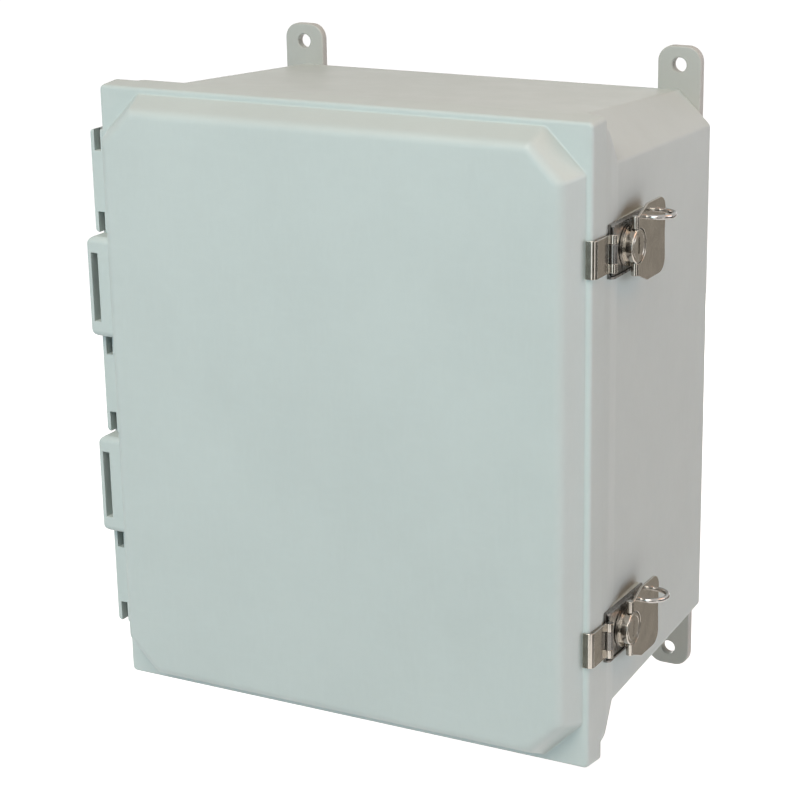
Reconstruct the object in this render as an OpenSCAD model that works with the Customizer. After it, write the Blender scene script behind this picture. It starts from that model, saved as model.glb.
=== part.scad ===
// Wall-mounted fiberglass enclosure with a raised hinged cover and two twist latches.
// X runs across the enclosure, Y from the room towards the wall, Z up. The wall is the plane
// Y = 0, and the origin is the centre of the four wall holes.

/* [Cover] */
// Width of the cover flange, which the box rim shares
flange_w = 285; // [250:1:330]
// Height of the cover flange, which the box rim shares
flange_h = 336; // [310:1:400]
// Corner radius of the flange, seen from the front
flange_r = 3; // [2.75:0.25:5]
// Draft of the flange's sides, from its front to the seam
flange_draft = 0.9; // [0:0.1:1]
// Depth of the cover's edge, from its front to the seam
cover_edge = 14; // [12:0.5:17]
// Rounding of the flange's front edge
edge_r = 2; // [1:0.25:2.5]
// Height of the raised panel above the flange
panel_rise = 15; // [9:0.5:20]
// Flange left bare beside the raised panel
panel_side_margin = 3.2; // [3:0.1:5]
// Flange left bare above and below the raised panel
panel_top_margin = 3.4; // [2.6:0.1:6]
// Corner chamfer of the raised panel at its foot
panel_chamfer = 21.5; // [16:0.5:28]
// How far the raised panel's sloping wall leans in
panel_lean = 5; // [3:0.25:7]
// Rounding of the raised panel's front edge
panel_edge_r = 4; // [2:0.25:5]

/* [Box] */
// Depth of the box, from its front land to its back
box_depth = 156.4; // [120:1:200]
// Depth of the rim behind the seam
rim_depth = 8; // [6:0.5:10]
// Corner radius of the rim, seen from the front
rim_r = 14; // [6:0.5:15]
// Depth over which the rim's corners run back into the chamfers
gusset_depth = 12; // [8:0.5:16]
// Step from the rim's side to the body's side
side_step = 1.7; // [1:0.1:2.5]
// Step from the rim's top to the body's top
top_step = 3.7; // [2:0.1:5]
// Draft of each side, taken over the whole body
side_draft = 4.8; // [3:0.1:6]
// Draft of the top and of the bottom, taken over the whole body
top_draft = 8; // [5:0.1:10]
// Corner chamfer of the body behind the rim
body_chamfer = 21.5; // [17:0.5:25]
// Corner chamfer of the body at its back
back_chamfer = 18; // [15:0.5:22]
// Rounding of the body's long edges
body_edge_r = 3; // [2:0.25:5]
// Thickness of the moulded walls
wall = 3.6; // [3:0.1:4.2]
// Thickness of the back wall
back_wall = 4.5; // [4:0.1:6]

/* [Seal] */
// Gap left between the cover and the box land
seam_gap = 0.4; // [0.3:0.05:0.8]
// Width of the sealing tongue on the box land
tongue_w = 1.6; // [1.2:0.1:1.8]
// Height of the sealing tongue above the box land
tongue_h = 2.4; // [1.5:0.1:3]
// Land left between the box opening and the tongue
tongue_inset = 0.9; // [0.6:0.1:1.2]
// Groove width beside the tongue, on each side
groove_side = 1; // [0.7:0.1:1.1]
// Thickness of the foam gasket in its groove
gasket_t = 3.7; // [3:0.1:4.5]
// Gap from the foam's face to the tongue's tip
gasket_gap = 0.3; // [0.2:0.05:0.4]
// Wall between the groove and the hollow of the cover
groove_wall = 1.6; // [1.2:0.1:2.4]

/* [Hinge] */
// Length of the hinge, over its three box lugs and two cover knuckles
hinge_len = 284; // [250:1:300]
// Diameter of the hinge pin
pin_d = 4; // [3:0.25:4.5]
// Distance of the pin's axis from the flange's edge
pin_out = 9; // [9:0.1:12]
// Half width of the lugs and knuckles around the pin
lug_r = 4.6; // [4:0.1:4.8]
// Gap between a lug and the next knuckle
lug_gap = 0.6; // [0.4:0.1:1]
// How far the box lugs reach in front of the pin
lug_front = 6; // [5:0.25:6]
// How far the knuckles stand in front of the flange
knuckle_proud = 1; // [0.5:0.1:2]
// Corner radius of the knuckles, seen from the front
knuckle_r = 4; // [2:0.25:4]
// Corner radius of the box lugs, seen from the front
lug_corner = 2; // [1:0.25:3]
// Length of the open slot at each end of a box lug
lug_slot = 11.5; // [9:0.5:18]
// Length of the bridge at each end of a knuckle's window
knuckle_bridge = 9; // [6:0.5:12]

/* [Mounting feet] */
// Width of a foot
foot_w = 25; // [20:0.5:30]
// Thickness of a foot
foot_t = 5; // [4.5:0.25:7]
// Length of a foot
foot_len = 78; // [76:1:90]
// Corner radius of a foot
foot_r = 8.5; // [5:0.25:10]
// Depth of the moulded recess that holds a foot
foot_recess = 2; // [1:0.1:2.2]
// Diameter of the wall hole
wall_hole_d = 8; // [6:0.25:10]
// Distance of the wall hole from the foot's tip
wall_hole_tip = 10.2; // [8:0.1:12]
// Distance of the wall hole beyond the body's back edge
wall_hole_reach = 13.2; // [10:0.1:16]
// Distance of the foot's middle from the body's back side edge
foot_inset = 18.5; // [16:0.1:24]
// Distance of the fixing screw from the wall hole
foot_fix = 57.5; // [56:0.5:60]
// Diameter of the fixing screw
foot_screw_d = 6; // [5:0.25:6]
// Diameter of the fixing screw's countersunk head
foot_head_d = 12; // [10:0.25:13]
// Depth that the fixing screw reaches past the foot
foot_screw_reach = 10; // [8:0.5:11]

/* [Inserts] */
// Diameter of the bosses inside the box
boss_d = 15; // [13:0.5:18]
// Height of the panel bosses above the back wall
panel_boss_h = 12; // [11:0.5:20]
// Height of the foot screw bosses above the back wall
foot_boss_h = 10.5; // [10:0.5:14]
// Distance of the panel bosses from the body's back side edge
panel_inset_side = 34.4; // [30:0.1:45]
// Distance of the panel bosses from the body's back top edge
panel_inset_top = 29.3; // [25:0.1:40]
// Outer diameter of the panel inserts
panel_insert_d = 7; // [6:0.25:9]
// Threaded bore of the panel inserts
panel_thread_d = 4.2; // [3.2:0.1:5]
// Length of the panel inserts
panel_insert_len = 10; // [6:0.5:10]
// Outer diameter of the foot inserts
foot_insert_d = 9; // [8:0.25:10]
// Length of the foot inserts
foot_insert_len = 9; // [7:0.5:9.5]

/* [Latches] */
// Height of each latch from the middle of the cover
latch_z = 101.5; // [60:0.5:115]
// Distance of the hub's axis behind the flange's front
hub_back = 36.5; // [35:0.5:40]
// Thickness of the latch sheet metal
sheet = 1.2; // [1:0.05:1.3]
// Gap between moving latch pieces
slip = 0.3; // [0.25:0.01:0.35]
// Inner half width of the latch channel
channel_in = 12.4; // [12:0.1:14]
// Height of the channel's sides
channel_h = 3.4; // [3:0.1:4.2]
// Length of the base plate in front of the hub's axis
base_ahead = 18.2; // [17:0.1:20]
// Length of the base plate behind the hub's axis
base_behind = 29.5; // [27:0.5:34]
// Diameter of the hub's drum
drum_d = 17; // [16:0.25:17.5]
// Height of the drum's face above the box side
drum_top = 9; // [9:0.1:10.5]
// Diameter of the scroll cam under the drum
cam_d = 21; // [20.5:0.1:22]
// Diameter of the hub's stem
stem_d = 4.8; // [4:0.1:5]
// Distance of the cam follower from the hub's axis, latched
cam_start = 4.6; // [4.5:0.05:4.8]
// Travel of the hook over half a turn of the hub
draw_travel = 4; // [3:0.1:4]
// Diameter of the cam follower
follower_d = 2; // [1.6:0.1:2]
// Distance of the hook's pin in front of the hub's axis
hook_pin_ahead = 19.5; // [19:0.1:20]
// Diameter of the hook's pin and the handle's pin
latch_pin_d = 2; // [1.6:0.1:2]
// Width of the hook
hook_w = 19; // [16:0.5:22]
// Length of the hook's lip over the flange
hook_lip = 2.9; // [2:0.1:2.9]
// Half height of the handle plate
handle_half = 19.5; // [18:0.25:24]
// Length of the handle plate behind the hub's axis
handle_len = 33.5; // [32:0.5:38]
// Corner radius of the handle plate
handle_r = 7; // [4:0.5:9]
// Reach of each handle ear from the hub's axis
ear_reach = 15; // [14:0.25:17]
// Diameter of the staple's wire
staple_d = 2.6; // [2:0.1:3]
// Distance between the staple's legs
staple_span = 17; // [14:0.2:19]
// Distance of the staple's near leg behind the hub's axis
staple_back = 9.4; // [9:0.2:11]
// Height of the staple above the hub's axis
staple_up = 12.8; // [12.2:0.2:15]
// Straight length of the staple's legs above the handle
staple_leg = 2; // [1:0.1:5]
// Diameter of the latch rivets
rivet_d = 4; // [3:0.25:4.5]
// Diameter of the latch rivets' heads
rivet_head_d = 7; // [6:0.25:8]
// Distance of the rear rivets behind the hub's axis
rivet_back = 22; // [20:0.5:24]
// Height of the rear rivets above and below the hub's axis
rivet_up = 7.5; // [5:0.25:9]
// Distance of the front rivet in front of the hub's axis
rivet_ahead = 12.5; // [11:0.25:14]

/* [Hidden] */
$fn = 48;

// Thin layer that carries an outline into a loft
skin = 0.01;
// Overlap that joins a feature to the wall it grows from
root = 2;
// Length by which a cut runs past a face
past = 1;
// Radial gap of a pin that turns in its bore
run_fit = 0.05;
// Radial gap of a pin that is held in its bore
hold_fit = 0.02;
// Gap round a foot in its recess
foot_gap = 0.3;
// Wall of a rolled sheet metal eye
eye_wall = sheet;

fiberglass = [0.75, 0.79, 0.77];
foam = [0.16, 0.16, 0.17];
stainless = [0.72, 0.71, 0.68];
brass = [0.78, 0.62, 0.32];
plated = [0.62, 0.63, 0.64];

// Places along Y, from the wall to the room
back_y = -(foot_t - foot_recess);
inner_back_y = back_y - back_wall;
land_y = back_y - box_depth;
rim_back_y = land_y + rim_depth;
gusset_y = rim_back_y + gusset_depth;
seam_y = land_y - seam_gap;
flange_y = seam_y - cover_edge;
panel_y = flange_y - panel_rise;
groove_y = land_y - tongue_h - gasket_gap - gasket_t;

// Extra wall that a sloping side needs to keep its thickness
slope_wall = 0.3;

// Octagons are [half width, half height, chamfer]
body_front = [flange_w / 2 - side_step, flange_h / 2 - top_step, body_chamfer];
body_back = [body_front[0] - side_draft, body_front[1] - top_draft, back_chamfer];
opening = grown(body_front, -wall);
panel_foot = [flange_w / 2 - panel_side_margin, flange_h / 2 - panel_top_margin, panel_chamfer];
panel_top = grown(panel_foot, -panel_lean);
hollow_foot = grown(opening, tongue_inset - groove_side - groove_wall);
hollow_mid = grown(panel_foot, -wall - slope_wall);
hollow_top = grown(panel_top, -wall);

// Feet and bosses, as distances from the middle
foot_x = body_back[0] - foot_inset;
foot_z = body_back[1] + wall_hole_reach;
fix_z = foot_z - foot_fix;
panel_boss_x = body_back[0] - panel_inset_side;
panel_boss_z = body_back[1] - panel_inset_top;

// Hinge
pin_x = -flange_w / 2 - pin_out;
pin_y = seam_y;
segment = hinge_len / 5;
// Gap between the box lugs and the path of the cover's edge
run_clear = 0.5;
lug_sweep = pin_out - flange_draft - run_clear;
pin_bore_d = pin_d + 2 * run_fit;

// Latch levels, measured out from the box side
link_low = sheet + slip;
link_top = link_low + sheet;
cam_low = link_top + slip;
follower_h = 1;
groove_deep = follower_h + 0.2;
cam_top = cam_low + groove_deep + sheet / 3;
eye_r = latch_pin_d / 2 + eye_wall;
hook_pin_out = link_low + eye_r;
ear_r = latch_pin_d / 2 + eye_wall * 0.85;
ear_out = drum_top - ear_r;
handle_low = drum_top - sheet;
hook_low = link_low;
// Pocket in the box side behind the hub's stem
pocket_d = 12;
pocket_deep = 2.2;
retainer_d = 9;
retainer_t = 1;
stem_end = -(slip + retainer_t + slip);
// Half width of the rolled eye in the middle of the link
link_eye_half = 4.7;
pad_half = channel_in + sheet / 2;
staple_r = staple_span / 2;

function unit(v) = v / norm(v);
function turned(v, a) = [v[0] * cos(a) - v[1] * sin(a), v[0] * sin(a) + v[1] * cos(a)];
// Octagon moved out by d on every side
function grown(o, d) = [o[0] + d, o[1] + d, o[2] + d * (2 - sqrt(2))];
function octagon(o) = let (w = o[0], h = o[1], c = o[2]) [
    [w, c - h], [w, h - c], [w - c, h], [c - w, h],
    [-w, h - c], [-w, c - h], [c - w, -h], [w - c, -h]
];
function rectangle(w, h) = [[w, -h], [w, h], [-w, h], [-w, -h]];
// Arc of n steps and radius r in place of corner b
function corner_arc(a, b, c, r, n) =
    let (
        u = unit(a - b),
        v = unit(c - b),
        half = acos(u * v) / 2,
        m = b + unit(u + v) * r / sin(half),
        p = b + u * r / tan(half) - m
    )
    [for (k = [0:n]) m + turned(p, (180 - 2 * half) * k / n)];
// Outline with each corner rounded
function rounded(pts, r, n = 4) =
    let (s = len(pts))
    [for (i = [0:s - 1]) each corner_arc(pts[(i + s - 1) % s], pts[i], pts[(i + 1) % s], r, n)];

// Upright slab of an outline, from its back plane to its front plane
module slab(pts, back, front) {
    translate([0, back, 0]) rotate([90, 0, 0]) linear_extrude(back - front) polygon(pts);
}

// Cylinder along Y that starts at the given back plane and runs to the front
module bar_y(x, z, d, back, front) {
    translate([x, back, z]) rotate([90, 0, 0]) cylinder(d = d, h = back - front);
}

// Cylinder along X between two heights above the box side
module bar_x(y, z, d, low, high) {
    translate([low, y, z]) rotate([0, 90, 0]) cylinder(d = d, h = high - low);
}

// Cylinder along Z between two heights
module bar_z(x, y, d, low, high) {
    translate([x, y, low]) cylinder(d = d, h = high - low);
}

// Upright bar with four round corners, centred on X and Z
module round_bar(w, h, r, back, front) {
    for (size = [[w - 2 * r, h], [w, h - 2 * r]])
        translate([-size[0] / 2, front, -size[1] / 2]) cube([size[0], back - front, size[1]]);
    for (sx = [-1, 1], sz = [-1, 1])
        bar_y(sx * (w / 2 - r), sz * (h / 2 - r), 2 * r, back, front);
}

// The same shape at the four corners of a pattern
module corners(x, z) {
    for (sx = [-1, 1], sz = [-1, 1]) translate([sx * x, 0, sz * z]) children();
}

// Box rim, its corner gussets and the chamfered, drafted body
module box_outside() {
    hull() {
        slab(rounded(rectangle(flange_w / 2, flange_h / 2), rim_r), rim_back_y, land_y);
        slab(rounded(octagon(body_front), body_edge_r), gusset_y, gusset_y - skin);
    }
    hull() {
        slab(rounded(octagon(body_front), body_edge_r), gusset_y + skin, gusset_y);
        slab(rounded(octagon(body_back), body_edge_r), back_y - body_edge_r, back_y - body_edge_r - skin);
        slab(rounded(octagon(grown(body_back, -body_edge_r)), body_edge_r), back_y, back_y - skin);
    }
}

module box_hollow() {
    hull() {
        slab(rounded(octagon(opening), body_edge_r), gusset_y, land_y - past);
        slab(rounded(octagon(grown(body_back, -wall)), body_edge_r), inner_back_y, inner_back_y - skin);
    }
}

// Lug of the box hinge between two heights, with front-open slots at its ends
module box_lug(low, high) {
    long = high - low;
    slot_d = pin_bore_d;
    difference() {
        intersection() {
            translate([pin_x, pin_y, low]) {
                intersection() {
                    translate([-lug_r, -lug_front, 0]) cube([lug_r + lug_sweep, lug_front + lug_r, long]);
                    cylinder(r = lug_sweep, h = long);
                }
                linear_extrude(long) polygon([
                    [-lug_r, seam_gap], [pin_out + root, seam_gap],
                    [pin_out + root, rim_depth + gusset_depth / 2],
                    [pin_out - run_clear, rim_depth], [-lug_r, lug_r]
                ]);
            }
            // Soft outer corners
            translate([pin_x - lug_r + pin_out + 3 * root, 0, (low + high) / 2])
                round_bar(2 * (pin_out + 3 * root), long, lug_corner, gusset_y, pin_y - lug_front - past);
        }
        bar_z(pin_x, pin_y, slot_d, low - past, high + past);
        for (z = [low - past, high - lug_slot])
            translate([pin_x - slot_d / 2, pin_y - lug_front - past, z])
                cube([slot_d, lug_front + past, lug_slot + past]);
        translate([pin_x - slot_d / 2, pin_y, low + lug_slot])
            cube([slot_d, rim_depth + gusset_depth, long - 2 * lug_slot]);
    }
}

// Knuckle of the cover hinge between two heights, with a front window in its middle
module cover_knuckle(low, high) {
    long = high - low;
    front = flange_y - knuckle_proud;
    reach = pin_out + lug_r + panel_side_margin + root;
    depth = pin_y + lug_r + knuckle_r - front;
    slot_d = pin_bore_d;
    difference() {
        intersection() {
            union() {
                translate([pin_x - lug_r, front, low]) cube([reach, pin_y - front, long]);
                bar_z(pin_x, pin_y, 2 * lug_r, low, high);
            }
            translate([pin_x - lug_r + reach, 0, (low + high) / 2])
                round_bar(2 * reach, long, knuckle_r, pin_y + lug_r + past, front - past);
            // Soft front edges at the top and the bottom
            translate([pin_x - lug_r - past, front + depth / 2, (low + high) / 2])
                rotate([0, 0, -90]) round_bar(depth, long, knuckle_r, reach + 2 * past, 0);
        }
        bar_z(pin_x, pin_y, slot_d, low - past, high + past);
        translate([pin_x - slot_d / 2, front - past, low + knuckle_bridge])
            cube([slot_d, pin_y - front + past, long - 2 * knuckle_bridge]);
        for (z = [low - past, high - knuckle_bridge])
            translate([pin_x - slot_d / 2, pin_y, z]) cube([slot_d, lug_r + past, knuckle_bridge + past]);
    }
}

// Heights of hinge segment k, less half a gap at each end
function segment_low(k) = -hinge_len / 2 + k * segment + (k == 0 ? 0 : lug_gap / 2);
function segment_high(k) = -hinge_len / 2 + (k + 1) * segment - (k == 4 ? 0 : lug_gap / 2);

// Moulded seat on the box side, level with the rim, that carries one latch
module latch_pad(z) {
    at_latch(z)
        translate([-side_step - side_draft, rim_depth + seam_gap + cover_edge - hub_back, -pad_half])
        cube([side_step + side_draft, base_behind + past + hub_back - rim_depth - seam_gap - cover_edge,
            2 * pad_half]);
}

// Rivet holes and hub pocket of one latch
module latch_holes(z) {
    at_latch(z) {
        bar_x(0, 0, pocket_d, -pocket_deep, past);
        for (p = rivet_places())
            bar_x(p[0], p[1], rivet_d + 2 * run_fit, -side_step - side_draft - wall - past, past);
    }
}

module box() {
    color(fiberglass) difference() {
        union() {
            difference() {
                union() {
                    box_outside();
                    latch_pad(latch_z);
                    latch_pad(-latch_z);
                }
                box_hollow();
            }
            // Sealing tongue on the land
            difference() {
                slab(octagon(grown(opening, tongue_inset + tongue_w)), land_y, land_y - tongue_h);
                slab(octagon(grown(opening, tongue_inset)), land_y + past, land_y - tongue_h - past);
            }
            for (k = [0, 2, 4]) box_lug(segment_low(k), segment_high(k));
            corners(panel_boss_x, panel_boss_z)
                bar_y(0, 0, boss_d, inner_back_y, inner_back_y - panel_boss_h);
            corners(foot_x, fix_z)
                bar_y(0, 0, boss_d, inner_back_y, inner_back_y - foot_boss_h);
        }
        // Recesses, screw holes and insert seats
        for (sx = [-1, 1], sz = [-1, 1])
            translate([sx * foot_x, 0, sz * (foot_z + wall_hole_tip - foot_len / 2)])
                round_bar(foot_w + 2 * foot_gap, foot_len + 2 * foot_gap, foot_r + foot_gap,
                    back_y + past, -foot_t);
        corners(foot_x, fix_z) {
            bar_y(0, 0, foot_screw_d + 2 * run_fit, back_y, inner_back_y - past);
            bar_y(0, 0, foot_insert_d + 2 * hold_fit,
                inner_back_y, inner_back_y - foot_insert_len - run_fit);
        }
        corners(panel_boss_x, panel_boss_z)
            bar_y(0, 0, panel_insert_d + 2 * hold_fit,
                inner_back_y - panel_boss_h + panel_insert_len + run_fit,
                inner_back_y - panel_boss_h - past);
        latch_holes(latch_z);
        latch_holes(-latch_z);
    }
}

module cover() {
    soft = edge_r * (1 - cos(45));
    panel_soft = panel_edge_r * (1 - cos(45));
    color(fiberglass) difference() {
        union() {
            hull() {
                slab(rounded(rectangle(flange_w / 2 + flange_draft, flange_h / 2 + flange_draft), flange_r),
                    seam_y, seam_y - skin);
                slab(rounded(rectangle(flange_w / 2, flange_h / 2), flange_r),
                    flange_y + edge_r + skin, flange_y + edge_r);
                slab(rounded(rectangle(flange_w / 2 - soft, flange_h / 2 - soft), flange_r - soft),
                    flange_y + edge_r, flange_y + soft);
                slab(rounded(rectangle(flange_w / 2 - edge_r, flange_h / 2 - edge_r), flange_r - edge_r),
                    flange_y + edge_r, flange_y);
            }
            hull() {
                slab(rounded(octagon(panel_foot), panel_edge_r), flange_y + edge_r, flange_y);
                slab(rounded(octagon(panel_top), panel_edge_r),
                    panel_y + panel_edge_r + skin, panel_y + panel_edge_r);
                slab(rounded(octagon(grown(panel_top, -panel_soft)), panel_edge_r),
                    panel_y + panel_edge_r, panel_y + panel_soft);
                slab(rounded(octagon(grown(panel_top, -panel_edge_r)), panel_edge_r),
                    panel_y + panel_edge_r, panel_y);
            }
            for (k = [1, 3]) cover_knuckle(segment_low(k), segment_high(k));
        }
        hull() {
            slab(rounded(octagon(hollow_foot), panel_edge_r), seam_y + past, seam_y);
            slab(rounded(octagon(hollow_mid), panel_edge_r), flange_y + skin, flange_y);
            slab(rounded(octagon(hollow_top), panel_edge_r), panel_y + wall + skin, panel_y + wall);
        }
        difference() {
            slab(octagon(grown(opening, tongue_inset + tongue_w + groove_side)), seam_y + past, groove_y);
            slab(octagon(grown(opening, tongue_inset - groove_side)), seam_y + 2 * past, groove_y - past);
        }
    }
}

module gasket() {
    color(foam) difference() {
        slab(octagon(grown(opening, tongue_inset + tongue_w + groove_side - run_fit)),
            groove_y + gasket_t, groove_y);
        slab(octagon(grown(opening, tongue_inset - groove_side + run_fit)),
            groove_y + gasket_t + past, groove_y - past);
    }
}

module hinge_pin() {
    tip = pin_d / 8;
    color(stainless) translate([pin_x, pin_y, 0]) rotate_extrude() polygon([
        [0, -hinge_len / 2], [pin_d / 2 - tip, -hinge_len / 2], [pin_d / 2, tip - hinge_len / 2],
        [pin_d / 2, hinge_len / 2 - tip], [pin_d / 2 - tip, hinge_len / 2], [0, hinge_len / 2]
    ]);
}

module panel_inserts() {
    front = inner_back_y - panel_boss_h;
    color(brass) corners(panel_boss_x, panel_boss_z) difference() {
        bar_y(0, 0, panel_insert_d, front + panel_insert_len, front);
        bar_y(0, 0, panel_thread_d, front + panel_insert_len + past, front - past);
    }
}

module foot_inserts() {
    color(brass) corners(foot_x, fix_z) difference() {
        bar_y(0, 0, foot_insert_d, inner_back_y, inner_back_y - foot_insert_len);
        bar_y(0, 0, foot_screw_d + 2 * run_fit, inner_back_y + past, inner_back_y - foot_insert_len - past);
    }
}

// Height of the countersunk head, with its sides at 45 degrees
foot_head_h = (foot_head_d - foot_screw_d) / 2;

module foot_screws() {
    socket_af = foot_screw_d * 2 / 3;
    color(plated) corners(foot_x, fix_z) difference() {
        rotate([90, 0, 0]) rotate_extrude() polygon([
            [0, 0], [foot_head_d / 2, 0], [foot_screw_d / 2, foot_head_h],
            [foot_screw_d / 2, foot_t + foot_screw_reach], [0, foot_t + foot_screw_reach]
        ]);
        translate([0, past, 0]) rotate([90, 0, 0])
            cylinder(d = socket_af / cos(30), h = foot_head_h * 2 / 3 + past, $fn = 6);
    }
}

// Foot that points up for side_z of 1 and down for -1
module foot(side_x, side_z) {
    color(fiberglass) translate([side_x * foot_x, 0, side_z * foot_z]) difference() {
        translate([0, 0, side_z * (wall_hole_tip - foot_len / 2)])
            round_bar(foot_w, foot_len, foot_r, 0, -foot_t);
        bar_y(0, 0, wall_hole_d, past, -foot_t - past);
        translate([0, 0, -side_z * foot_fix]) {
            bar_y(0, 0, foot_screw_d + 2 * run_fit, past, -foot_t - past);
            rotate([90, 0, 0])
                cylinder(r1 = foot_head_d / 2 + run_fit, r2 = foot_screw_d / 2 + run_fit, h = foot_head_h);
            bar_y(0, 0, foot_head_d + 2 * run_fit, past, 0);
        }
    }
}

// Latch frame: origin on the box side at the hub's axis
module at_latch(z) {
    translate([flange_w / 2, flange_y + hub_back, z]) children();
}

// Sheet in the latch's side plane between two heights; its outline is [back, up]
module side_sheet(low, high) {
    translate([low, 0, 0]) rotate([90, 0, 90]) linear_extrude(high - low) children();
}

function rivet_places() = [[rivet_back, rivet_up], [rivet_back, -rivet_up], [-rivet_ahead, 0]];

// Countersunk head of the front rivet, which lies under the link
front_head_d = rivet_d + 2 * sheet;

module latch_base(z) {
    bend = sheet;
    channel_back = cam_d / 2 + past;
    color(stainless) at_latch(z) difference() {
        union() {
            side_sheet(0, sheet) translate([-base_ahead, -channel_in - sheet])
                square([base_ahead + base_behind, 2 * (channel_in + sheet)]);
            for (low = [-channel_in - sheet, channel_in])
                translate([0, 0, low]) linear_extrude(sheet) polygon([
                    [0, -base_ahead], [channel_h - bend, -base_ahead], [channel_h, bend - base_ahead],
                    [channel_h, channel_back], [sheet, channel_back + channel_h - sheet],
                    [0, channel_back + channel_h - sheet]
                ]);
        }
        bar_x(0, 0, stem_d + 2 * run_fit, -past, sheet + past);
        for (p = rivet_places()) bar_x(p[0], p[1], rivet_d + 2 * run_fit, -past, sheet + past);
        translate([0, -rivet_ahead, 0]) rotate([0, 90, 0])
            cylinder(r1 = rivet_d / 2 + run_fit, r2 = front_head_d / 2 + run_fit, h = sheet);
    }
}

// Depth of the box wall under the latch, at a place behind the hub's axis
function wall_under(back) =
    side_step + side_draft * max(0, back + flange_y + hub_back - gusset_y) / (back_y - gusset_y) + wall;

module latch_rivets(z) {
    tail_d = rivet_d * 1.5;
    tail_h = rivet_d / 2;
    dome_h = rivet_head_d / 5;
    color(plated) at_latch(z) for (p = rivet_places()) {
        seat = -wall_under(p[0] + rivet_d) - slip;
        translate([0, p[0], p[1]]) rotate([0, 90, 0]) {
            translate([0, 0, seat]) cylinder(d = rivet_d, h = sheet - seat);
            translate([0, 0, seat - tail_h]) cylinder(d = tail_d, h = tail_h);
            if (p[0] > 0)
                translate([0, 0, sheet]) rotate_extrude() polygon([
                    [0, 0], [rivet_head_d / 2, 0], [rivet_head_d / 2, dome_h / 3],
                    [rivet_head_d / 3, dome_h], [0, dome_h]
                ]);
            else
                cylinder(r1 = rivet_d / 2, r2 = front_head_d / 2, h = sheet);
        }
    }
}

// Middle line of the scroll: turning the hub by a pushes the follower out in proportion
function scroll_r(a) = cam_start + draw_travel * a / 180;
function scroll_point(a, off) = (scroll_r(a) + off) * [cos(180 - a), sin(180 - a)];

module scroll_groove() {
    half = follower_d / 2 + 3 * run_fit;
    step = 6;
    side_sheet(cam_low - past, cam_low + groove_deep) {
        polygon(concat(
            [for (a = [0:step:180]) scroll_point(a, half)],
            [for (a = [180:-step:0]) scroll_point(a, -half)]
        ));
    }
    for (a = [0, 180])
        bar_x(scroll_point(a, 0)[0], scroll_point(a, 0)[1], 2 * half, cam_low - past, cam_low + groove_deep);
}

module latch_hub(z) {
    soft = sheet / 3;
    slot_w = 2.2;
    slot_long = 9;
    slot_deep = 0.7;
    color(stainless) at_latch(z) difference() {
        union() {
            bar_x(0, 0, stem_d, stem_end, cam_low + sheet);
            bar_x(0, 0, cam_d, cam_low, cam_top);
            rotate([0, 90, 0]) rotate_extrude() polygon([
                [0, cam_low + groove_deep], [drum_d / 2, cam_low + groove_deep],
                [drum_d / 2, drum_top - soft],
                [drum_d / 2 - soft, drum_top], [0, drum_top]
            ]);
        }
        scroll_groove();
        bar_z(ear_out, 0, latch_pin_d + 2 * run_fit, -drum_d, drum_d);
        translate([drum_top - slot_deep, -slot_w / 2, -slot_long / 2])
            cube([slot_deep + past, slot_w, slot_long]);
    }
}

module latch_retainer(z) {
    color(plated) at_latch(z) difference() {
        bar_x(0, 0, retainer_d, -slip - retainer_t, -slip);
        bar_x(0, 0, stem_d + 2 * hold_fit, -slip - retainer_t - past, past);
    }
}

module latch_link(z) {
    slot_half = stem_d / 2 + slip;
    front = hook_pin_ahead - eye_r - slip;
    back = stem_d / 2 + slip + draw_travel + 2 * sheet;
    color(stainless) at_latch(z) difference() {
        union() {
            side_sheet(link_low, link_top) {
                translate([-front, slip - channel_in]) square([front + back, 2 * (channel_in - slip)]);
                translate([-hook_pin_ahead, -link_eye_half]) square([hook_pin_ahead, 2 * link_eye_half]);
            }
            bar_z(hook_pin_out, -hook_pin_ahead, 2 * eye_r, -link_eye_half, link_eye_half);
            bar_x(-cam_start, 0, follower_d, link_low, cam_low + follower_h);
        }
        side_sheet(link_low - past, link_top + past) {
            translate([-slot_half, -slot_half]) square([2 * slot_half + draw_travel, 2 * slot_half]);
        }
        bar_z(hook_pin_out, -hook_pin_ahead, latch_pin_d + 2 * hold_fit, -hook_w, hook_w);
    }
}

module latch_hook_pin(z) {
    color(plated) at_latch(z) bar_z(hook_pin_out, -hook_pin_ahead, latch_pin_d, -hook_w / 2, hook_w / 2);
}

module latch_hook(z) {
    gap_half = link_eye_half + slip;
    lip_back = hub_back + slip;
    bend_r = 1.5 * sheet;
    color(stainless) at_latch(z) difference() {
        union() {
            translate([0, 0, -hook_w / 2]) linear_extrude(hook_w) polygon(concat(
                [[hook_low, -hook_pin_ahead], [hook_low, -lip_back], [-hook_lip, -lip_back],
                    [-hook_lip, -lip_back - sheet]],
                [for (a = [-90:15:0]) [hook_low + sheet - bend_r, bend_r - lip_back - sheet]
                    + bend_r * [cos(a), sin(a)]],
                [[hook_low + sheet, -hook_pin_ahead]]
            ));
            bar_z(hook_pin_out, -hook_pin_ahead, 2 * eye_r, -hook_w / 2, hook_w / 2);
        }
        translate([hook_low - past, -hook_pin_ahead - eye_r - slip, -gap_half])
            cube([2 * eye_r + 2 * past, 2 * (eye_r + slip), 2 * gap_half]);
        bar_z(hook_pin_out, -hook_pin_ahead, latch_pin_d + 2 * run_fit, -hook_w, hook_w);
    }
}

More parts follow.
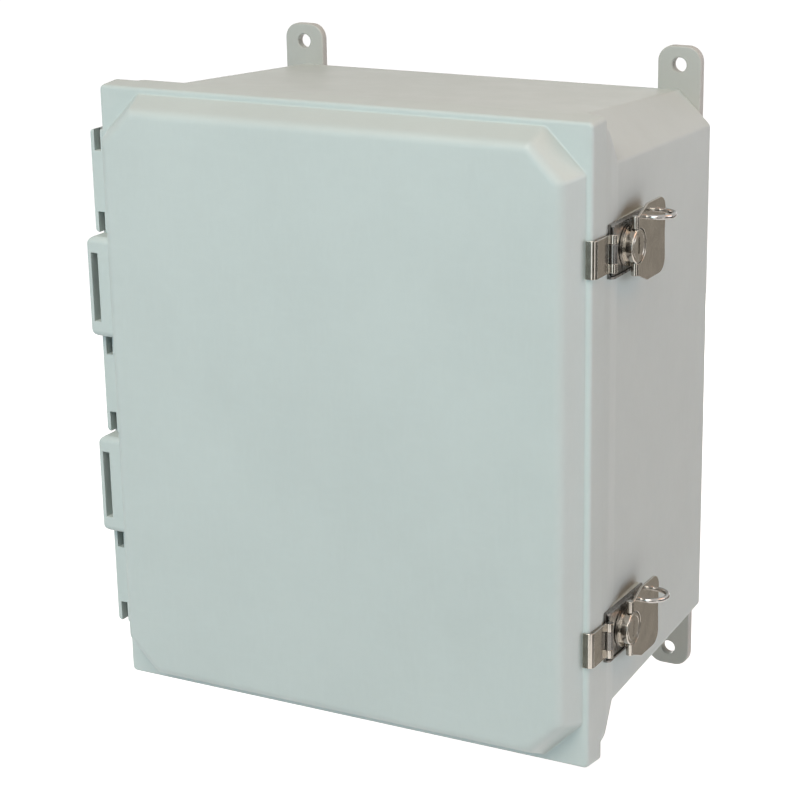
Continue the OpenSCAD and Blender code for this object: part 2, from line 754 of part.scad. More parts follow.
module latch_handle(z) {
    notch_r = drum_d / 2 + 2 * slip;
    ear_start = drum_d / 2 + slip;
    shoulder = handle_len / 3;
    waist = sheet / 2;
    color(stainless) at_latch(z) difference() {
        union() {
            side_sheet(handle_low, drum_top) difference() {
                polygon(concat(
                    [[0, -ear_reach], [shoulder, -handle_half]],
                    corner_arc([0, -handle_half], [handle_len, -handle_half], [handle_len, 0], handle_r, 6),
                    [[handle_len - waist, 0]],
                    corner_arc([handle_len, 0], [handle_len, handle_half], [0, handle_half], handle_r, 6),
                    [[shoulder, handle_half], [0, ear_reach]]
                ));
                circle(r = notch_r);
            }
            for (low = [-ear_reach, ear_start])
                bar_z(ear_out, 0, 2 * ear_r, low, low + ear_reach - ear_start);
        }
        bar_z(ear_out, 0, latch_pin_d + 2 * hold_fit, -handle_half, handle_half);
        for (y = [staple_back, staple_back + staple_span])
            bar_x(y, staple_up, staple_d + 2 * hold_fit, handle_low - past, drum_top + past);
    }
}

module latch_handle_pin(z) {
    color(plated) at_latch(z) bar_z(ear_out, 0, latch_pin_d, -ear_reach, ear_reach);
}

// Wire loop for a padlock, with a swaged head under the handle on each leg
module latch_staple(z) {
    head_t = sheet / 2;
    color(stainless) at_latch(z) {
        for (y = [staple_back, staple_back + staple_span]) {
            bar_x(y, staple_up, staple_d, handle_low - head_t, drum_top + staple_leg);
            bar_x(y, staple_up, staple_d * 1.4, handle_low - head_t, handle_low);
        }
        translate([drum_top + staple_leg, staple_back + staple_r, staple_up]) rotate([0, 0, -90])
            rotate_extrude(angle = 180) translate([staple_r, 0]) circle(d = staple_d);
    }
}

box();
cover();
gasket();
hinge_pin();
panel_inserts();
foot_inserts();
foot_screws();
foot(-1, 1);  // foot_top_left
foot(1, 1);  // foot_top_right
foot(-1, -1);  // foot_bottom_left
foot(1, -1);  // foot_bottom_right
latch_base(latch_z);  // upper_latch_base
latch_rivets(latch_z);  // upper_latch_rivets
latch_hub(latch_z);  // upper_latch_hub
latch_retainer(latch_z);  // upper_latch_retainer
latch_link(latch_z);  // upper_latch_link
latch_hook_pin(latch_z);  // upper_latch_hook_pin
latch_hook(latch_z);  // upper_latch_hook
latch_handle(latch_z);  // upper_latch_handle
latch_handle_pin(latch_z);  // upper_latch_handle_pin
latch_staple(latch_z);  // upper_latch_staple
latch_base(-latch_z);  // lower_latch_base
latch_rivets(-latch_z);  // lower_latch_rivets
latch_hub(-latch_z);  // lower_latch_hub
latch_retainer(-latch_z);  // lower_latch_retainer
latch_link(-latch_z);  // lower_latch_link
latch_hook_pin(-latch_z);  // lower_latch_hook_pin
latch_hook(-latch_z);  // lower_latch_hook
latch_handle(-latch_z);  // lower_latch_handle
latch_handle_pin(-latch_z);  // lower_latch_handle_pin
latch_staple(-latch_z);  // lower_latch_staple
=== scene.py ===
"""Looks of a wall-mounted fiberglass enclosure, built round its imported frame.

Sizes are millimetres in the frame's own axes: X across the enclosure, Y into the wall, Z up.
"""

import logging
import math
from dataclasses import dataclass, field
from enum import Enum
from functools import cached_property
from typing import Callable, Iterable, Sequence

import bmesh
import bpy
from mathutils import Euler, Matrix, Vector


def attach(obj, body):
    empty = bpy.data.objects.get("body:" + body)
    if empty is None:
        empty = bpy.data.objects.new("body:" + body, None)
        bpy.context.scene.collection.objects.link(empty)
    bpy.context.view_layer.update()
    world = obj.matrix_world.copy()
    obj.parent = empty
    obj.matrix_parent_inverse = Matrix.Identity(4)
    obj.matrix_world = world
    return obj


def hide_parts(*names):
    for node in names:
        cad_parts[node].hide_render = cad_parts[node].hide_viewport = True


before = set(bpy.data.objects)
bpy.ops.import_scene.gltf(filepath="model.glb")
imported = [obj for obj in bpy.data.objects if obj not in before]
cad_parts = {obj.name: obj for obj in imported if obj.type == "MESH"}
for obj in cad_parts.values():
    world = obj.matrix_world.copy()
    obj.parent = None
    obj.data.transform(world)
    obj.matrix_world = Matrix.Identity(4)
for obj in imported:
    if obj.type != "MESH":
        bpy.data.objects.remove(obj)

LOG = logging.getLogger("enclosure")
MM = 0.001
TINY = 1e-6
NEAR = 0.01

Span = tuple[float, float]
Colour = tuple[float, float, float]
Place = tuple[float, float, float]
Value = float | Sequence[float] | bpy.types.NodeSocket
EdgeTest = Callable[[Vector, Vector], bool]


class Join(Enum):
    """How a tool shape meets a piece."""

    FUSE = "UNION"
    CUT = "DIFFERENCE"


class Axis(Enum):
    """Direction of a round shape, and the turn that a standing cylinder needs for it."""

    X = ((1.0, 0.0, 0.0), (0.0, math.pi / 2, 0.0))
    Y = ((0.0, 1.0, 0.0), (math.pi / 2, 0.0, 0.0))
    Z = ((0.0, 0.0, 1.0), (0.0, 0.0, 0.0))

    @property
    def along(self) -> Vector:
        """Unit vector of the direction."""
        return Vector(self.value[0])


class Grain(Enum):
    """Direction of a metal's grain, as the scale of its noise along X, Y and Z."""

    ALONG_Z = (900.0, 900.0, 14.0)
    NONE = (160.0, 160.0, 160.0)


# Modelling with Blender's operators


def deselect() -> None:
    """Leaves nothing selected and Blender in object mode."""
    if bpy.context.object and bpy.context.object.mode != "OBJECT":
        bpy.ops.object.mode_set(mode="OBJECT")
    bpy.ops.object.select_all(action="DESELECT")


def choose(piece: bpy.types.Object) -> None:
    """Makes one piece the only selected and active one.

    Args:
        piece: The piece to choose.
    """
    deselect()
    piece.select_set(True)
    bpy.context.view_layer.objects.active = piece


def open_mesh(piece: bpy.types.Object, mode: str = "EDGE") -> None:
    """Opens a piece in edit mode with nothing selected.

    Args:
        piece: The piece to edit.
        mode: VERT, EDGE or FACE.
    """
    choose(piece)
    bpy.ops.object.mode_set(mode="EDIT")
    bpy.ops.mesh.select_mode(type=mode)
    bpy.ops.mesh.select_all(action="DESELECT")


def close_mesh() -> None:
    """Goes back to object mode."""
    bpy.ops.object.mode_set(mode="OBJECT")


def merge(reach: float = TINY) -> None:
    """Selects all of the open piece and merges points that lie within a reach in metres."""
    bpy.ops.mesh.select_all(action="SELECT")
    bpy.ops.mesh.remove_doubles(threshold=reach)


def select(piece: bpy.types.Object, parts: Iterable[bmesh.types.BMEdge | bmesh.types.BMFace]) -> None:
    """Selects edges or faces of the open piece.

    Args:
        piece: The piece that is open in edit mode.
        parts: Its edges or faces.
    """
    for part in parts:
        part.select_set(True)
    bmesh.from_edit_mesh(piece.data).select_flush_mode()
    bmesh.update_edit_mesh(piece.data)


def round_edges(piece: bpy.types.Object, test: EdgeTest, size: float, steps: int = 3) -> None:
    """Rounds the edges that pass a test.

    Args:
        piece: The piece to work on.
        test: Says of an edge's two ends, in millimetres, whether it is wanted.
        size: Distance from the edge at which the rounding starts.
        steps: Number of faces across the rounding.
    """
    open_mesh(piece)
    mesh = bmesh.from_edit_mesh(piece.data)
    wanted = [edge for edge in mesh.edges if test(*[vertex.co / MM for vertex in edge.verts])]
    select(piece, wanted)
    if wanted:
        bpy.ops.mesh.bevel(offset=size * MM, segments=steps, affect="EDGES", clamp_overlap=True)
    close_mesh()


def soften(piece: bpy.types.Object, width: float, steps: int = 2, angle: float = 40.0) -> None:
    """Breaks the sharp edges of a piece wherever there is room for it.

    Args:
        piece: The piece to work on.
        width: Distance from the edge at which the break starts.
        steps: Number of faces across the break.
        angle: Edges sharper than this many degrees are broken.
    """
    open_mesh(piece)
    mesh = bmesh.from_edit_mesh(piece.data)
    sharp = {edge for edge in mesh.edges if edge.calc_face_angle(0.0) > math.radians(angle)}
    room = {True: width * MM, False: 2 * width * MM}
    short = [edge for edge in mesh.edges if edge.calc_length() < room[edge in sharp]]
    tight = {vertex for edge in short for vertex in edge.verts}
    select(piece, [edge for edge in sharp if not tight.intersection(edge.verts)])
    bpy.ops.mesh.bevel(offset=width * MM, segments=steps, affect="EDGES", clamp_overlap=False)
    close_mesh()


def frame_flats(piece: bpy.types.Object, least: float = 8.0, width: float = 1.2) -> None:
    """Frames every large flat face with a narrow strip of its own plane, so that it shades evenly.

    Args:
        piece: The piece to work on.
        least: Shortest edge and width of a face that counts as large.
        width: Width of the strip.
    """
    open_mesh(piece, "FACE")
    mesh = bmesh.from_edit_mesh(piece.data)
    large = []
    for face in mesh.faces:
        lengths = [edge.calc_length() for edge in face.edges]
        if min(*lengths, face.calc_area() / max(lengths)) > least * MM:
            large.append(face)
    select(piece, large)
    bpy.ops.mesh.inset(thickness=width * MM, depth=0.0, use_individual=True, use_even_offset=True)
    close_mesh()


def placed(name: str) -> bpy.types.Object:
    """Names a new primitive and puts its place into its mesh.

    Args:
        name: Name of the new object.

    Returns:
        The primitive's object.
    """
    made = bpy.context.object
    made.name = name
    bpy.ops.object.transform_apply(location=True, rotation=True, scale=True)
    return made


def block(name: str, x: Span, y: Span, z: Span) -> bpy.types.Object:
    """Starts a piece or a tool as a block between two corners.

    Args:
        name: Name of the new object.
        x: Lowest and highest X.
        y: Lowest and highest Y.
        z: Lowest and highest Z.

    Returns:
        The block, with its place in its mesh.
    """
    deselect()
    middle = [sum(span) / 2 * MM for span in (x, y, z)]
    bpy.ops.mesh.primitive_cube_add(size=1.0, location=middle)
    bpy.context.object.scale = [(span[1] - span[0]) * MM for span in (x, y, z)]
    return placed(name)


def rod(
    name: str, axis: Axis, foot: Sequence[float], length: float, radius: float, sides: int = 48
) -> bpy.types.Object:
    """Starts a tool as a round bar.

    Args:
        name: Name of the new object.
        axis: Direction of the bar.
        foot: Middle of its end with the lowest coordinate.
        length: Length along the axis.
        radius: Radius of the bar.
        sides: Number of sides.

    Returns:
        The bar, with its place in its mesh.
    """
    deselect()
    bpy.ops.mesh.primitive_cylinder_add(
        vertices=sides,
        radius=radius * MM,
        depth=length * MM,
        location=(Vector(foot) + axis.along * length / 2) * MM,
        rotation=axis.value[1],
    )
    return placed(name)


def apply_modifier(piece: bpy.types.Object, kind: str, **settings: object) -> None:
    """Adds a modifier to a piece and applies it.

    Args:
        piece: The piece to work on.
        kind: Blender's name for the modifier.
        **settings: Values of the modifier.
    """
    choose(piece)
    modifier = piece.modifiers.new(kind.lower(), kind)
    for key, value in settings.items():
        setattr(modifier, key, value)
    bpy.ops.object.modifier_apply(modifier=modifier.name)


def combine(piece: bpy.types.Object, how: Join, *tools: bpy.types.Object) -> None:
    """Joins tool shapes to a piece, or cuts them from it, and removes the tools.

    Args:
        piece: The piece that stays.
        how: Fuse or cut.
        *tools: Shapes that are used up.
    """
    for tool in tools:
        apply_modifier(piece, "BOOLEAN", operation=how.value, solver="EXACT", object=tool)
        bpy.data.objects.remove(tool)


def smooth(piece: bpy.types.Object, angle: float = 32.0) -> None:
    """Shades a piece softly across its roundings and keeps its flats flat.

    Args:
        piece: The piece to shade.
        angle: Edges sharper than this many degrees stay crisp.
    """
    open_mesh(piece, "VERT")
    merge()
    bpy.ops.mesh.dissolve_degenerate(threshold=TINY)
    close_mesh()
    bpy.ops.object.shade_smooth_by_angle(angle=math.radians(angle))
    apply_modifier(piece, "WEIGHTED_NORMAL", mode="FACE_AREA", weight=100, keep_sharp=True)


def own_copy(source: bpy.types.Object, name: str) -> bpy.types.Object:
    """Adds a copy of an object with a mesh of its own.

    Args:
        source: The object to copy.
        name: Name of the copy.

    Returns:
        The copy.
    """
    made = bpy.data.objects.new(name, source.data.copy())
    bpy.context.scene.collection.objects.link(made)
    return made


def copy_of(
    piece: bpy.types.Object, name: str, shift: Sequence[float] = (0, 0, 0), turned: bool = False
) -> bpy.types.Object:
    """Copies a piece to another place.

    Args:
        piece: The piece to copy.
        name: Name of the copy.
        shift: How far the copy's mesh is moved.
        turned: Whether the copy is turned half round the frame's Y axis.

    Returns:
        The copy.
    """
    made = own_copy(piece, name)
    choose(made)
    made.location = Vector(shift) * MM
    made.rotation_euler = (0.0, math.pi if turned else 0.0, 0.0)
    bpy.ops.object.transform_apply(location=True, rotation=True, scale=False)
    return made


def from_node(node: str, name: str) -> bpy.types.Object:
    """Starts a piece as a merged copy of a frame node, with flat faces made whole.

    Args:
        node: Name of the node.
        name: Name of the new piece.

    Returns:
        The merged copy, with no material.
    """
    made = own_copy(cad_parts[node], name)
    made.data.materials.clear()
    open_mesh(made, "VERT")
    merge(5 * TINY)
    bpy.ops.mesh.dissolve_limited(angle_limit=math.radians(0.5))
    bpy.ops.mesh.normals_make_consistent(inside=False)
    close_mesh()
    return made


@dataclass(frozen=True)
class Outline:
    """Upright outline of a moulding, seen from the front.

    Attributes:
        half_w: Half of its width.
        half_h: Half of its height.
        chamfer: Corner chamfer, or 0 for plain round corners.
        radius: Rounding of each corner.
        steps: Number of faces across a rounding of 45 degrees.
    """

    half_w: float
    half_h: float
    chamfer: float = 0.0
    radius: float = 4.0
    steps: int = 5

    def grown(self, by: float) -> "Outline":
        """Outline moved out by a distance on every side."""
        chamfer = self.chamfer + by * (2 - math.sqrt(2))
        return Outline(self.half_w + by, self.half_h + by, chamfer, self.radius, self.steps)

    @staticmethod
    def arc(centre: Vector, radius: float, first: float, last: float, steps: int) -> list[Vector]:
        """Points of an arc.

        Args:
            centre: Centre of the arc.
            radius: Its radius.
            first: Angle at which it starts.
            last: Angle at which it ends.
            steps: Number of steps along it.

        Returns:
            The points, with both ends.
        """
        turns = [first + (last - first) * j / steps for j in range(steps + 1)]
        return [centre + Vector((math.cos(a), math.sin(a))) * radius for a in turns]

    def quarter(self) -> list[Vector]:
        """Works out the upper right corner.

        Returns:
            The corner's points, from its side to its top.
        """
        r, n, eighth = self.radius, self.steps, math.pi / 4
        if not self.chamfer:
            middle = Vector((self.half_w - r, self.half_h - r))
            return self.arc(middle, r, 0.0, 2 * eighth, 2 * n + 1)
        tangent = r * math.tan(eighth / 2)
        low = Vector((self.half_w - r, self.half_h - self.chamfer - tangent))
        high = Vector((self.half_w - self.chamfer - tangent, self.half_h - r))
        return self.arc(low, r, 0.0, eighth, n) + self.arc(high, r, eighth, 2 * eighth, n)

    def ring(self, y: float) -> list[Vector]:
        """Closed ring of points at a depth.

        Args:
            y: Place along Y.

        Returns:
            Points in metres, in order round the outline.
        """
        right = self.quarter()
        back = right[::-1]
        upper = right + [Vector((-p.x, p.y)) for p in back]
        lower = [-p for p in right] + [Vector((p.x, -p.y)) for p in back]
        return [Vector((p.x, y, p.y)) * MM for p in upper + lower]


@dataclass(frozen=True)
class Station:
    """One ring of a moulding and the rounding of its edge.

    Attributes:
        outline: Outline at this ring.
        y: Place of the ring along Y.
        soft: Distance at which the rounding starts, or 0 for a crisp edge.
        steps: Number of faces across the rounding.
    """

    outline: Outline
    y: float
    soft: float = 0.0
    steps: int = 3


def spot(point: Vector) -> tuple[int, int, int]:
    """Key of a point, fine enough to tell two ring points apart."""
    return tuple(round(c / TINY) for c in point)


def curve(start: Vector, corner: Vector, end: Vector, steps: int) -> list[Vector]:
    """Points of a rounding between two lines that meet in a corner.

    Args:
        start: Where the rounding leaves the first line.
        corner: Where the lines meet.
        end: Where the rounding joins the second line.
        steps: Number of faces across the rounding.

    Returns:
        The points, with both ends.
    """
    shares = [j / steps for j in range(steps + 1)]
    return [start * (1 - t) ** 2 + corner * 2 * t * (1 - t) + end * t * t for t in shares]


def eased(corners: Sequence[tuple[float, float, float]], steps: int = 4) -> list[Vector]:
    """Outline with rounded corners.

    Args:
        corners: X, Y and the distance at which each corner's rounding starts, or 0 for a crisp one.
        steps: Number of faces across each rounding.

    Returns:
        The outline's points.
    """
    points = [Vector(corner[:2]) for corner in corners]
    outline = []
    for k, (point, (_, _, soft)) in enumerate(zip(points, corners)):
        ends = [point + (points[j % len(points)] - point).normalized() * soft for j in (k - 1, k + 1)]
        outline += curve(ends[0], point, ends[1], steps) if soft else [point]
    return outline


def rounded_rings(stations: Sequence[Station]) -> list[list[Vector]]:
    """Rings of a moulding, with each soft station split into the rings of its rounding.

    Args:
        stations: Rings in order along the wall's surface.

    Returns:
        The rings' points in metres.
    """
    corners = [s.outline.ring(s.y) for s in stations]
    rings = []
    for k, (station, ring) in enumerate(zip(stations, corners)):
        if not station.soft:
            rings.append(ring)
            continue
        before, after = corners[k - 1], corners[(k + 1) % len(corners)]
        start = [p + (q - p).normalized() * station.soft * MM for p, q in zip(ring, before)]
        end = [p + (q - p).normalized() * station.soft * MM for p, q in zip(ring, after)]
        rings += zip(*[curve(a, p, b, station.steps) for a, p, b in zip(start, ring, end)])
    return [list(ring) for ring in rings]


def draw(name: str, points: Sequence[Vector]) -> bpy.types.Object:
    """Starts a piece as a circle that is shaped to an outline, and leaves it open and selected.

    Args:
        name: Name of the new object.
        points: The outline's points in metres.

    Returns:
        The outline's object, in edit mode.
    """
    deselect()
    bpy.ops.mesh.primitive_circle_add(vertices=len(points), radius=1.0)
    made = bpy.context.object
    made.name = name
    for vertex, place in zip(made.data.vertices, points):
        vertex.co = place
    open_mesh(made)
    bpy.ops.mesh.select_all(action="SELECT")
    return made


def pick_ring(piece: bpy.types.Object, ring: Sequence[Vector]) -> None:
    """Selects the open edges that run along a ring of the open piece.

    Args:
        piece: The piece that is open in edit mode.
        ring: The ring's points.
    """
    steps = {frozenset((spot(p), spot(q))) for p, q in zip(ring, [*ring[1:], ring[0]])}
    mesh = bmesh.from_edit_mesh(piece.data)
    bpy.ops.mesh.select_all(action="DESELECT")
    open_edges = [edge for edge in mesh.edges if len(edge.link_faces) < 2]
    select(piece, [edge for edge in open_edges if frozenset(spot(v.co) for v in edge.verts) in steps])


def skin(name: str, rings: list[list[Vector]], closed: bool = False) -> bpy.types.Object:
    """Draws a shape ring by ring: the first ring is drawn, then extruded to each next one.

    Args:
        name: Name of the new piece.
        rings: Rings of points in metres, all with the same number.
        closed: Whether the last ring runs back to the first; otherwise both ends are filled.

    Returns:
        The closed shape.
    """
    made = draw(name, rings[0])
    if not closed:
        bpy.ops.mesh.edge_face_add()
    for before, after in zip(rings, rings[1:] + (rings[:1] if closed else [])):
        pick_ring(made, before)
        bpy.ops.mesh.extrude_edges_move()
        mesh = bmesh.from_edit_mesh(made.data)
        target = {spot(p): q for p, q in zip(before, after)}
        for vertex in [v for v in mesh.verts if v.select]:
            vertex.co = target[spot(vertex.co)]
        bmesh.update_edit_mesh(made.data)
    if not closed:
        bpy.ops.mesh.edge_face_add()
    merge()
    bpy.ops.mesh.normals_make_consistent(inside=False)
    close_mesh()
    return made


def loft(name: str, stations: Sequence[Station], closed: bool = False) -> bpy.types.Object:
    """Draws a moulding with rounded edges and evenly shaded flats.

    Args:
        name: Name of the new piece.
        stations: Rings in order along the wall's surface.
        closed: Whether the last ring runs back to the first; otherwise both ends are filled.

    Returns:
        The closed moulding.
    """
    made = skin(name, rounded_rings(stations), closed)
    frame_flats(made)
    return made


def lathe(
    name: str, centre: Sequence[float], axis: Axis, profile: Sequence[Span], steps: int = 48
) -> bpy.types.Object:
    """Turns a closed profile round an axis.

    Args:
        name: Name of the new object.
        centre: Point on the axis from which heights are counted.
        axis: Direction of the axis.
        profile: Corners as radius and height along the axis.
        steps: Faces round the axis.

    Returns:
        The closed turned shape, with its place in its mesh.
    """
    middle = Vector(centre)
    out = Vector((1, 0, 0)) if axis is Axis.Z else Vector((0, 0, 1))
    made = draw(name, [(middle + out * radius + axis.along * height) * MM for radius, height in profile])
    bpy.ops.mesh.spin(steps=steps, angle=math.tau, center=middle * MM, axis=axis.along)
    merge()
    bpy.ops.mesh.dissolve_degenerate(threshold=TINY)
    bpy.ops.mesh.normals_make_consistent(inside=False)
    close_mesh()
    return made


# Finishes


class Graph:
    """Lays out the nodes of one material, or of the world."""

    def __init__(self, owner: bpy.types.Material | bpy.types.World) -> None:
        """Takes up the owner's nodes.

        Args:
            owner: The material or world.
        """
        owner.use_nodes = True
        self.owner = owner
        self.tree = owner.node_tree

    @cached_property
    def place(self) -> bpy.types.NodeSocket:
        """The object's own coordinates."""
        return self.node("ShaderNodeTexCoord").outputs["Object"]

    def feed(self, socket: bpy.types.NodeSocket, value: Value) -> None:
        """Links a value to a socket, or sets it there.

        Args:
            socket: The input socket.
            value: An output socket or a plain value.
        """
        if isinstance(value, bpy.types.NodeSocket):
            self.tree.links.new(value, socket)
        else:
            socket.default_value = value

    def node(self, kind: str, **values: Value | str) -> bpy.types.Node:
        """Adds a node.

        Args:
            kind: Blender's name of the node.
            **values: Properties, or input sockets with spaces written as underscores.

        Returns:
            The new node.
        """
        made = self.tree.nodes.new(kind)
        for key, value in values.items():
            socket = made.inputs.get(key.replace("_", " "))
            if socket is None:
                setattr(made, key, value)
            else:
                self.feed(socket, value)
        return made

    def math(self, operation: str, *values: Value) -> bpy.types.NodeSocket:
        """Adds a calculation.

        Args:
            operation: Blender's name of the calculation.
            *values: What it works on, in order.

        Returns:
            The result.
        """
        made = self.node("ShaderNodeMath", operation=operation)
        for socket, value in zip(made.inputs, values):
            self.feed(socket, value)
        return made.outputs[0]

    def surface(self, **values: Value) -> None:
        """Feeds the surface shader's inputs, with spaces written as underscores."""
        for key, value in values.items():
            self.feed(self.tree.nodes["Principled BSDF"].inputs[key.replace("_", " ")], value)

    def show(self, shader: bpy.types.NodeSocket) -> None:
        """Sends a shader to the output."""
        output = next(node for node in self.tree.nodes if node.type.startswith("OUTPUT"))
        self.feed(output.inputs["Surface"], shader)

    def noise(
        self, scale: float, detail: float = 3.0, rough: float = 0.55, stretch: Sequence[float] = (1, 1, 1)
    ) -> bpy.types.NodeSocket:
        """Adds a noise on the object's own coordinates.

        Args:
            scale: Features per metre.
            detail: Number of finer layers.
            rough: Weight of the finer layers.
            stretch: Scale along X, Y and Z.

        Returns:
            The noise from 0 to 1.
        """
        mapped = self.node("ShaderNodeMapping", Vector=self.place, Scale=stretch).outputs[0]
        made = self.node("ShaderNodeTexNoise", Vector=mapped, Scale=scale, Detail=detail, Roughness=rough)
        return made.outputs["Fac"]

    def band(self, source: bpy.types.NodeSocket, low: Span, high: Span) -> bpy.types.NodeSocket:
        """Maps one range of values onto another.

        Args:
            source: Value to map.
            low: Where the range starts, before and after.
            high: Where the range ends, before and after.

        Returns:
            The mapped value.
        """
        ends = {"From_Min": low[0], "From_Max": high[0], "To_Min": low[1], "To_Max": high[1]}
        return self.node("ShaderNodeMapRange", Value=source, **ends).outputs["Result"]

    def shades(
        self, source: bpy.types.NodeSocket, stops: Sequence[tuple[float, Colour]]
    ) -> bpy.types.NodeSocket:
        """Turns a value into colours.

        Args:
            source: Value from 0 to 1.
            stops: Places and colours of the ramp.

        Returns:
            The colour.
        """
        ramp = self.node("ShaderNodeValToRGB", Fac=source)
        marks = ramp.color_ramp.elements
        while len(marks) < len(stops):
            marks.new(0.5)
        for mark, (where, colour) in zip(marks, stops):
            mark.position = where
            mark.color = (*colour, 1.0)
        return ramp.outputs["Color"]

    def relief(self, *layers: tuple[bpy.types.NodeSocket, float]) -> None:
        """Stacks heights into the surface.

        Args:
            *layers: Each height with its depth in millimetres.
        """
        normal = None
        for height, depth in layers:
            bump = self.node("ShaderNodeBump", Height=height, Distance=depth * MM, Strength=1.0)
            if normal is not None:
                self.feed(bump.inputs["Normal"], normal)
            normal = bump.outputs["Normal"]
        self.surface(Normal=normal)

    def seen(self) -> bpy.types.NodeSocket:
        """Tells the rays that see the studio from those that light it.

        Returns:
            1 for camera, glossy and transmission rays, and 0 for the rest.
        """
        rays = self.node("ShaderNodeLightPath").outputs
        value = rays["Is Camera Ray"]
        for name in ("Is Glossy Ray", "Is Transmission Ray"):
            value = self.math("MAXIMUM", value, rays[name])
        return value


def toned(colour: Colour, factor: float) -> Colour:
    """Colour made lighter or darker."""
    return tuple(min(1.0, c * factor) for c in colour)


@dataclass(frozen=True)
class MouldedFinish:
    """Satin moulded polyester with a faint print of its chopped glass strands.

    Attributes:
        name: Name of the material.
        colour: Colour of the moulding.
        roughness: Middle of the gloss range.
        peel: Depth of the orange-peel relief.
        wave: Depth of the slow waves.
        strands: Scale along X, Y and Z of the strands that lie each way.
    """

    name: str
    colour: Colour
    roughness: float = 0.46
    peel: float = 0.012
    wave: float = 0.15
    strands: tuple[Place, Place] = ((90.0, 700.0, 260.0), (420.0, 600.0, 80.0))

    def material(self) -> bpy.types.Material:
        """Builds the finish.

        Returns:
            The material.
        """
        graph = Graph(bpy.data.materials.new(self.name))
        cloud = graph.noise(scale=14)
        strands = graph.math("MAXIMUM", *[graph.noise(1, 2, 0.6, stretch) for stretch in self.strands])
        lines = graph.band(strands, (0.45, 0.0), (0.85, 1.0))
        clouds = graph.band(cloud, (0.3, 0.0), (0.7, 0.65))
        tones = [(0.0, toned(self.colour, 0.965)), (0.5, self.colour), (1.0, toned(self.colour, 1.03))]
        gloss = graph.noise(scale=60, detail=4)
        graph.surface(
            Base_Color=graph.shades(graph.math("MULTIPLY_ADD", lines, 0.35, clouds), tones),
            Roughness=graph.band(gloss, (0.3, self.roughness - 0.05), (0.7, self.roughness + 0.06)),
        )
        graph.relief((cloud, self.wave), (strands, self.peel), (graph.noise(scale=750, detail=2), self.peel))
        return graph.owner


@dataclass(frozen=True)
class MetalFinish:
    """Metal with a fine grain, soft smudges and small gloss changes.

    Attributes:
        name: Name of the material.
        colour: Colour of the metal.
        roughness: Middle of the gloss range.
        grain: Direction of the grain.
        depth: Depth of the grain.
    """

    name: str
    colour: Colour
    roughness: float = 0.18
    grain: Grain = Grain.ALONG_Z
    depth: float = 0.003

    def material(self) -> bpy.types.Material:
        """Builds the finish.

        Returns:
            The material.
        """
        graph = Graph(bpy.data.materials.new(self.name))
        lines = graph.noise(1, 3, 0.6, self.grain.value)
        smudge = graph.noise(scale=120, detail=4)
        tones = [(0.25, toned(self.colour, 0.86)), (0.6, self.colour), (0.85, toned(self.colour, 1.08))]
        gloss = graph.band(smudge, (0.3, self.roughness * 0.6), (0.75, self.roughness * 0.95))
        graph.surface(
            Metallic=1.0,
            Base_Color=graph.shades(smudge, tones),
            Roughness=graph.math("MULTIPLY_ADD", lines, self.roughness * 0.6, gloss),
        )
        graph.relief((lines, self.depth))
        return graph.owner


@dataclass(frozen=True)
class FoamFinish:
    """Closed-cell foam with small pores and a dusty skin.

    Attributes:
        name: Name of the material.
        colour: Colour of the foam.
    """

    name: str
    colour: Colour

    def material(self) -> bpy.types.Material:
        """Builds the finish.

        Returns:
            The material.
        """
        graph = Graph(bpy.data.materials.new(self.name))
        cells = graph.node("ShaderNodeTexVoronoi", Vector=graph.place, Scale=1400.0).outputs["Distance"]
        dust = graph.noise(scale=300, detail=4)
        tones = [(0.3, toned(self.colour, 0.7)), (0.7, toned(self.colour, 1.5))]
        graph.surface(
            Base_Color=graph.shades(dust, tones),
            Roughness=graph.band(dust, (0.3, 0.8), (0.7, 0.95)),
        )
        graph.relief((cells, 0.12), (dust, 0.05))
        return graph.owner


Finish = MouldedFinish | MetalFinish | FoamFinish


@dataclass(frozen=True)
class Finishes:
    """All finishes of the enclosure, made once and shared."""

    fiberglass: MouldedFinish = MouldedFinish("fiberglass_grey", (0.535, 0.600, 0.575))
    foot: MouldedFinish = MouldedFinish("foot_polyester", (0.47, 0.485, 0.45), 0.42)
    steel: MetalFinish = MetalFinish("polished_steel", (0.50, 0.47, 0.42), 0.16)
    # Darker copy of the polished steel for the latch base and link: its colour is painted shade for the shade
    # that these parts sit in.
    shaded: MetalFinish = MetalFinish("shade_darkened_steel", (0.25, 0.24, 0.225), 0.26)
    wire: MetalFinish = MetalFinish("drawn_wire", (0.40, 0.385, 0.365), 0.14, Grain.NONE, 0.001)
    # Dark steel for the hinge pin: its dark colour is painted shade for the shade inside the hinge slots; its
    # roughness is a dull finish.
    pin_shade: MetalFinish = MetalFinish("shade_dark_pin_steel", (0.22, 0.23, 0.22), 0.45, Grain.ALONG_Z, 0.002)
    plated: MetalFinish = MetalFinish("bright_plating", (0.58, 0.58, 0.57), 0.22, Grain.NONE, 0.002)
    brass: MetalFinish = MetalFinish("turned_brass", (0.72, 0.52, 0.24), 0.26, Grain.NONE, 0.003)
    foam: FoamFinish = FoamFinish("foam_black", (0.022, 0.022, 0.024))


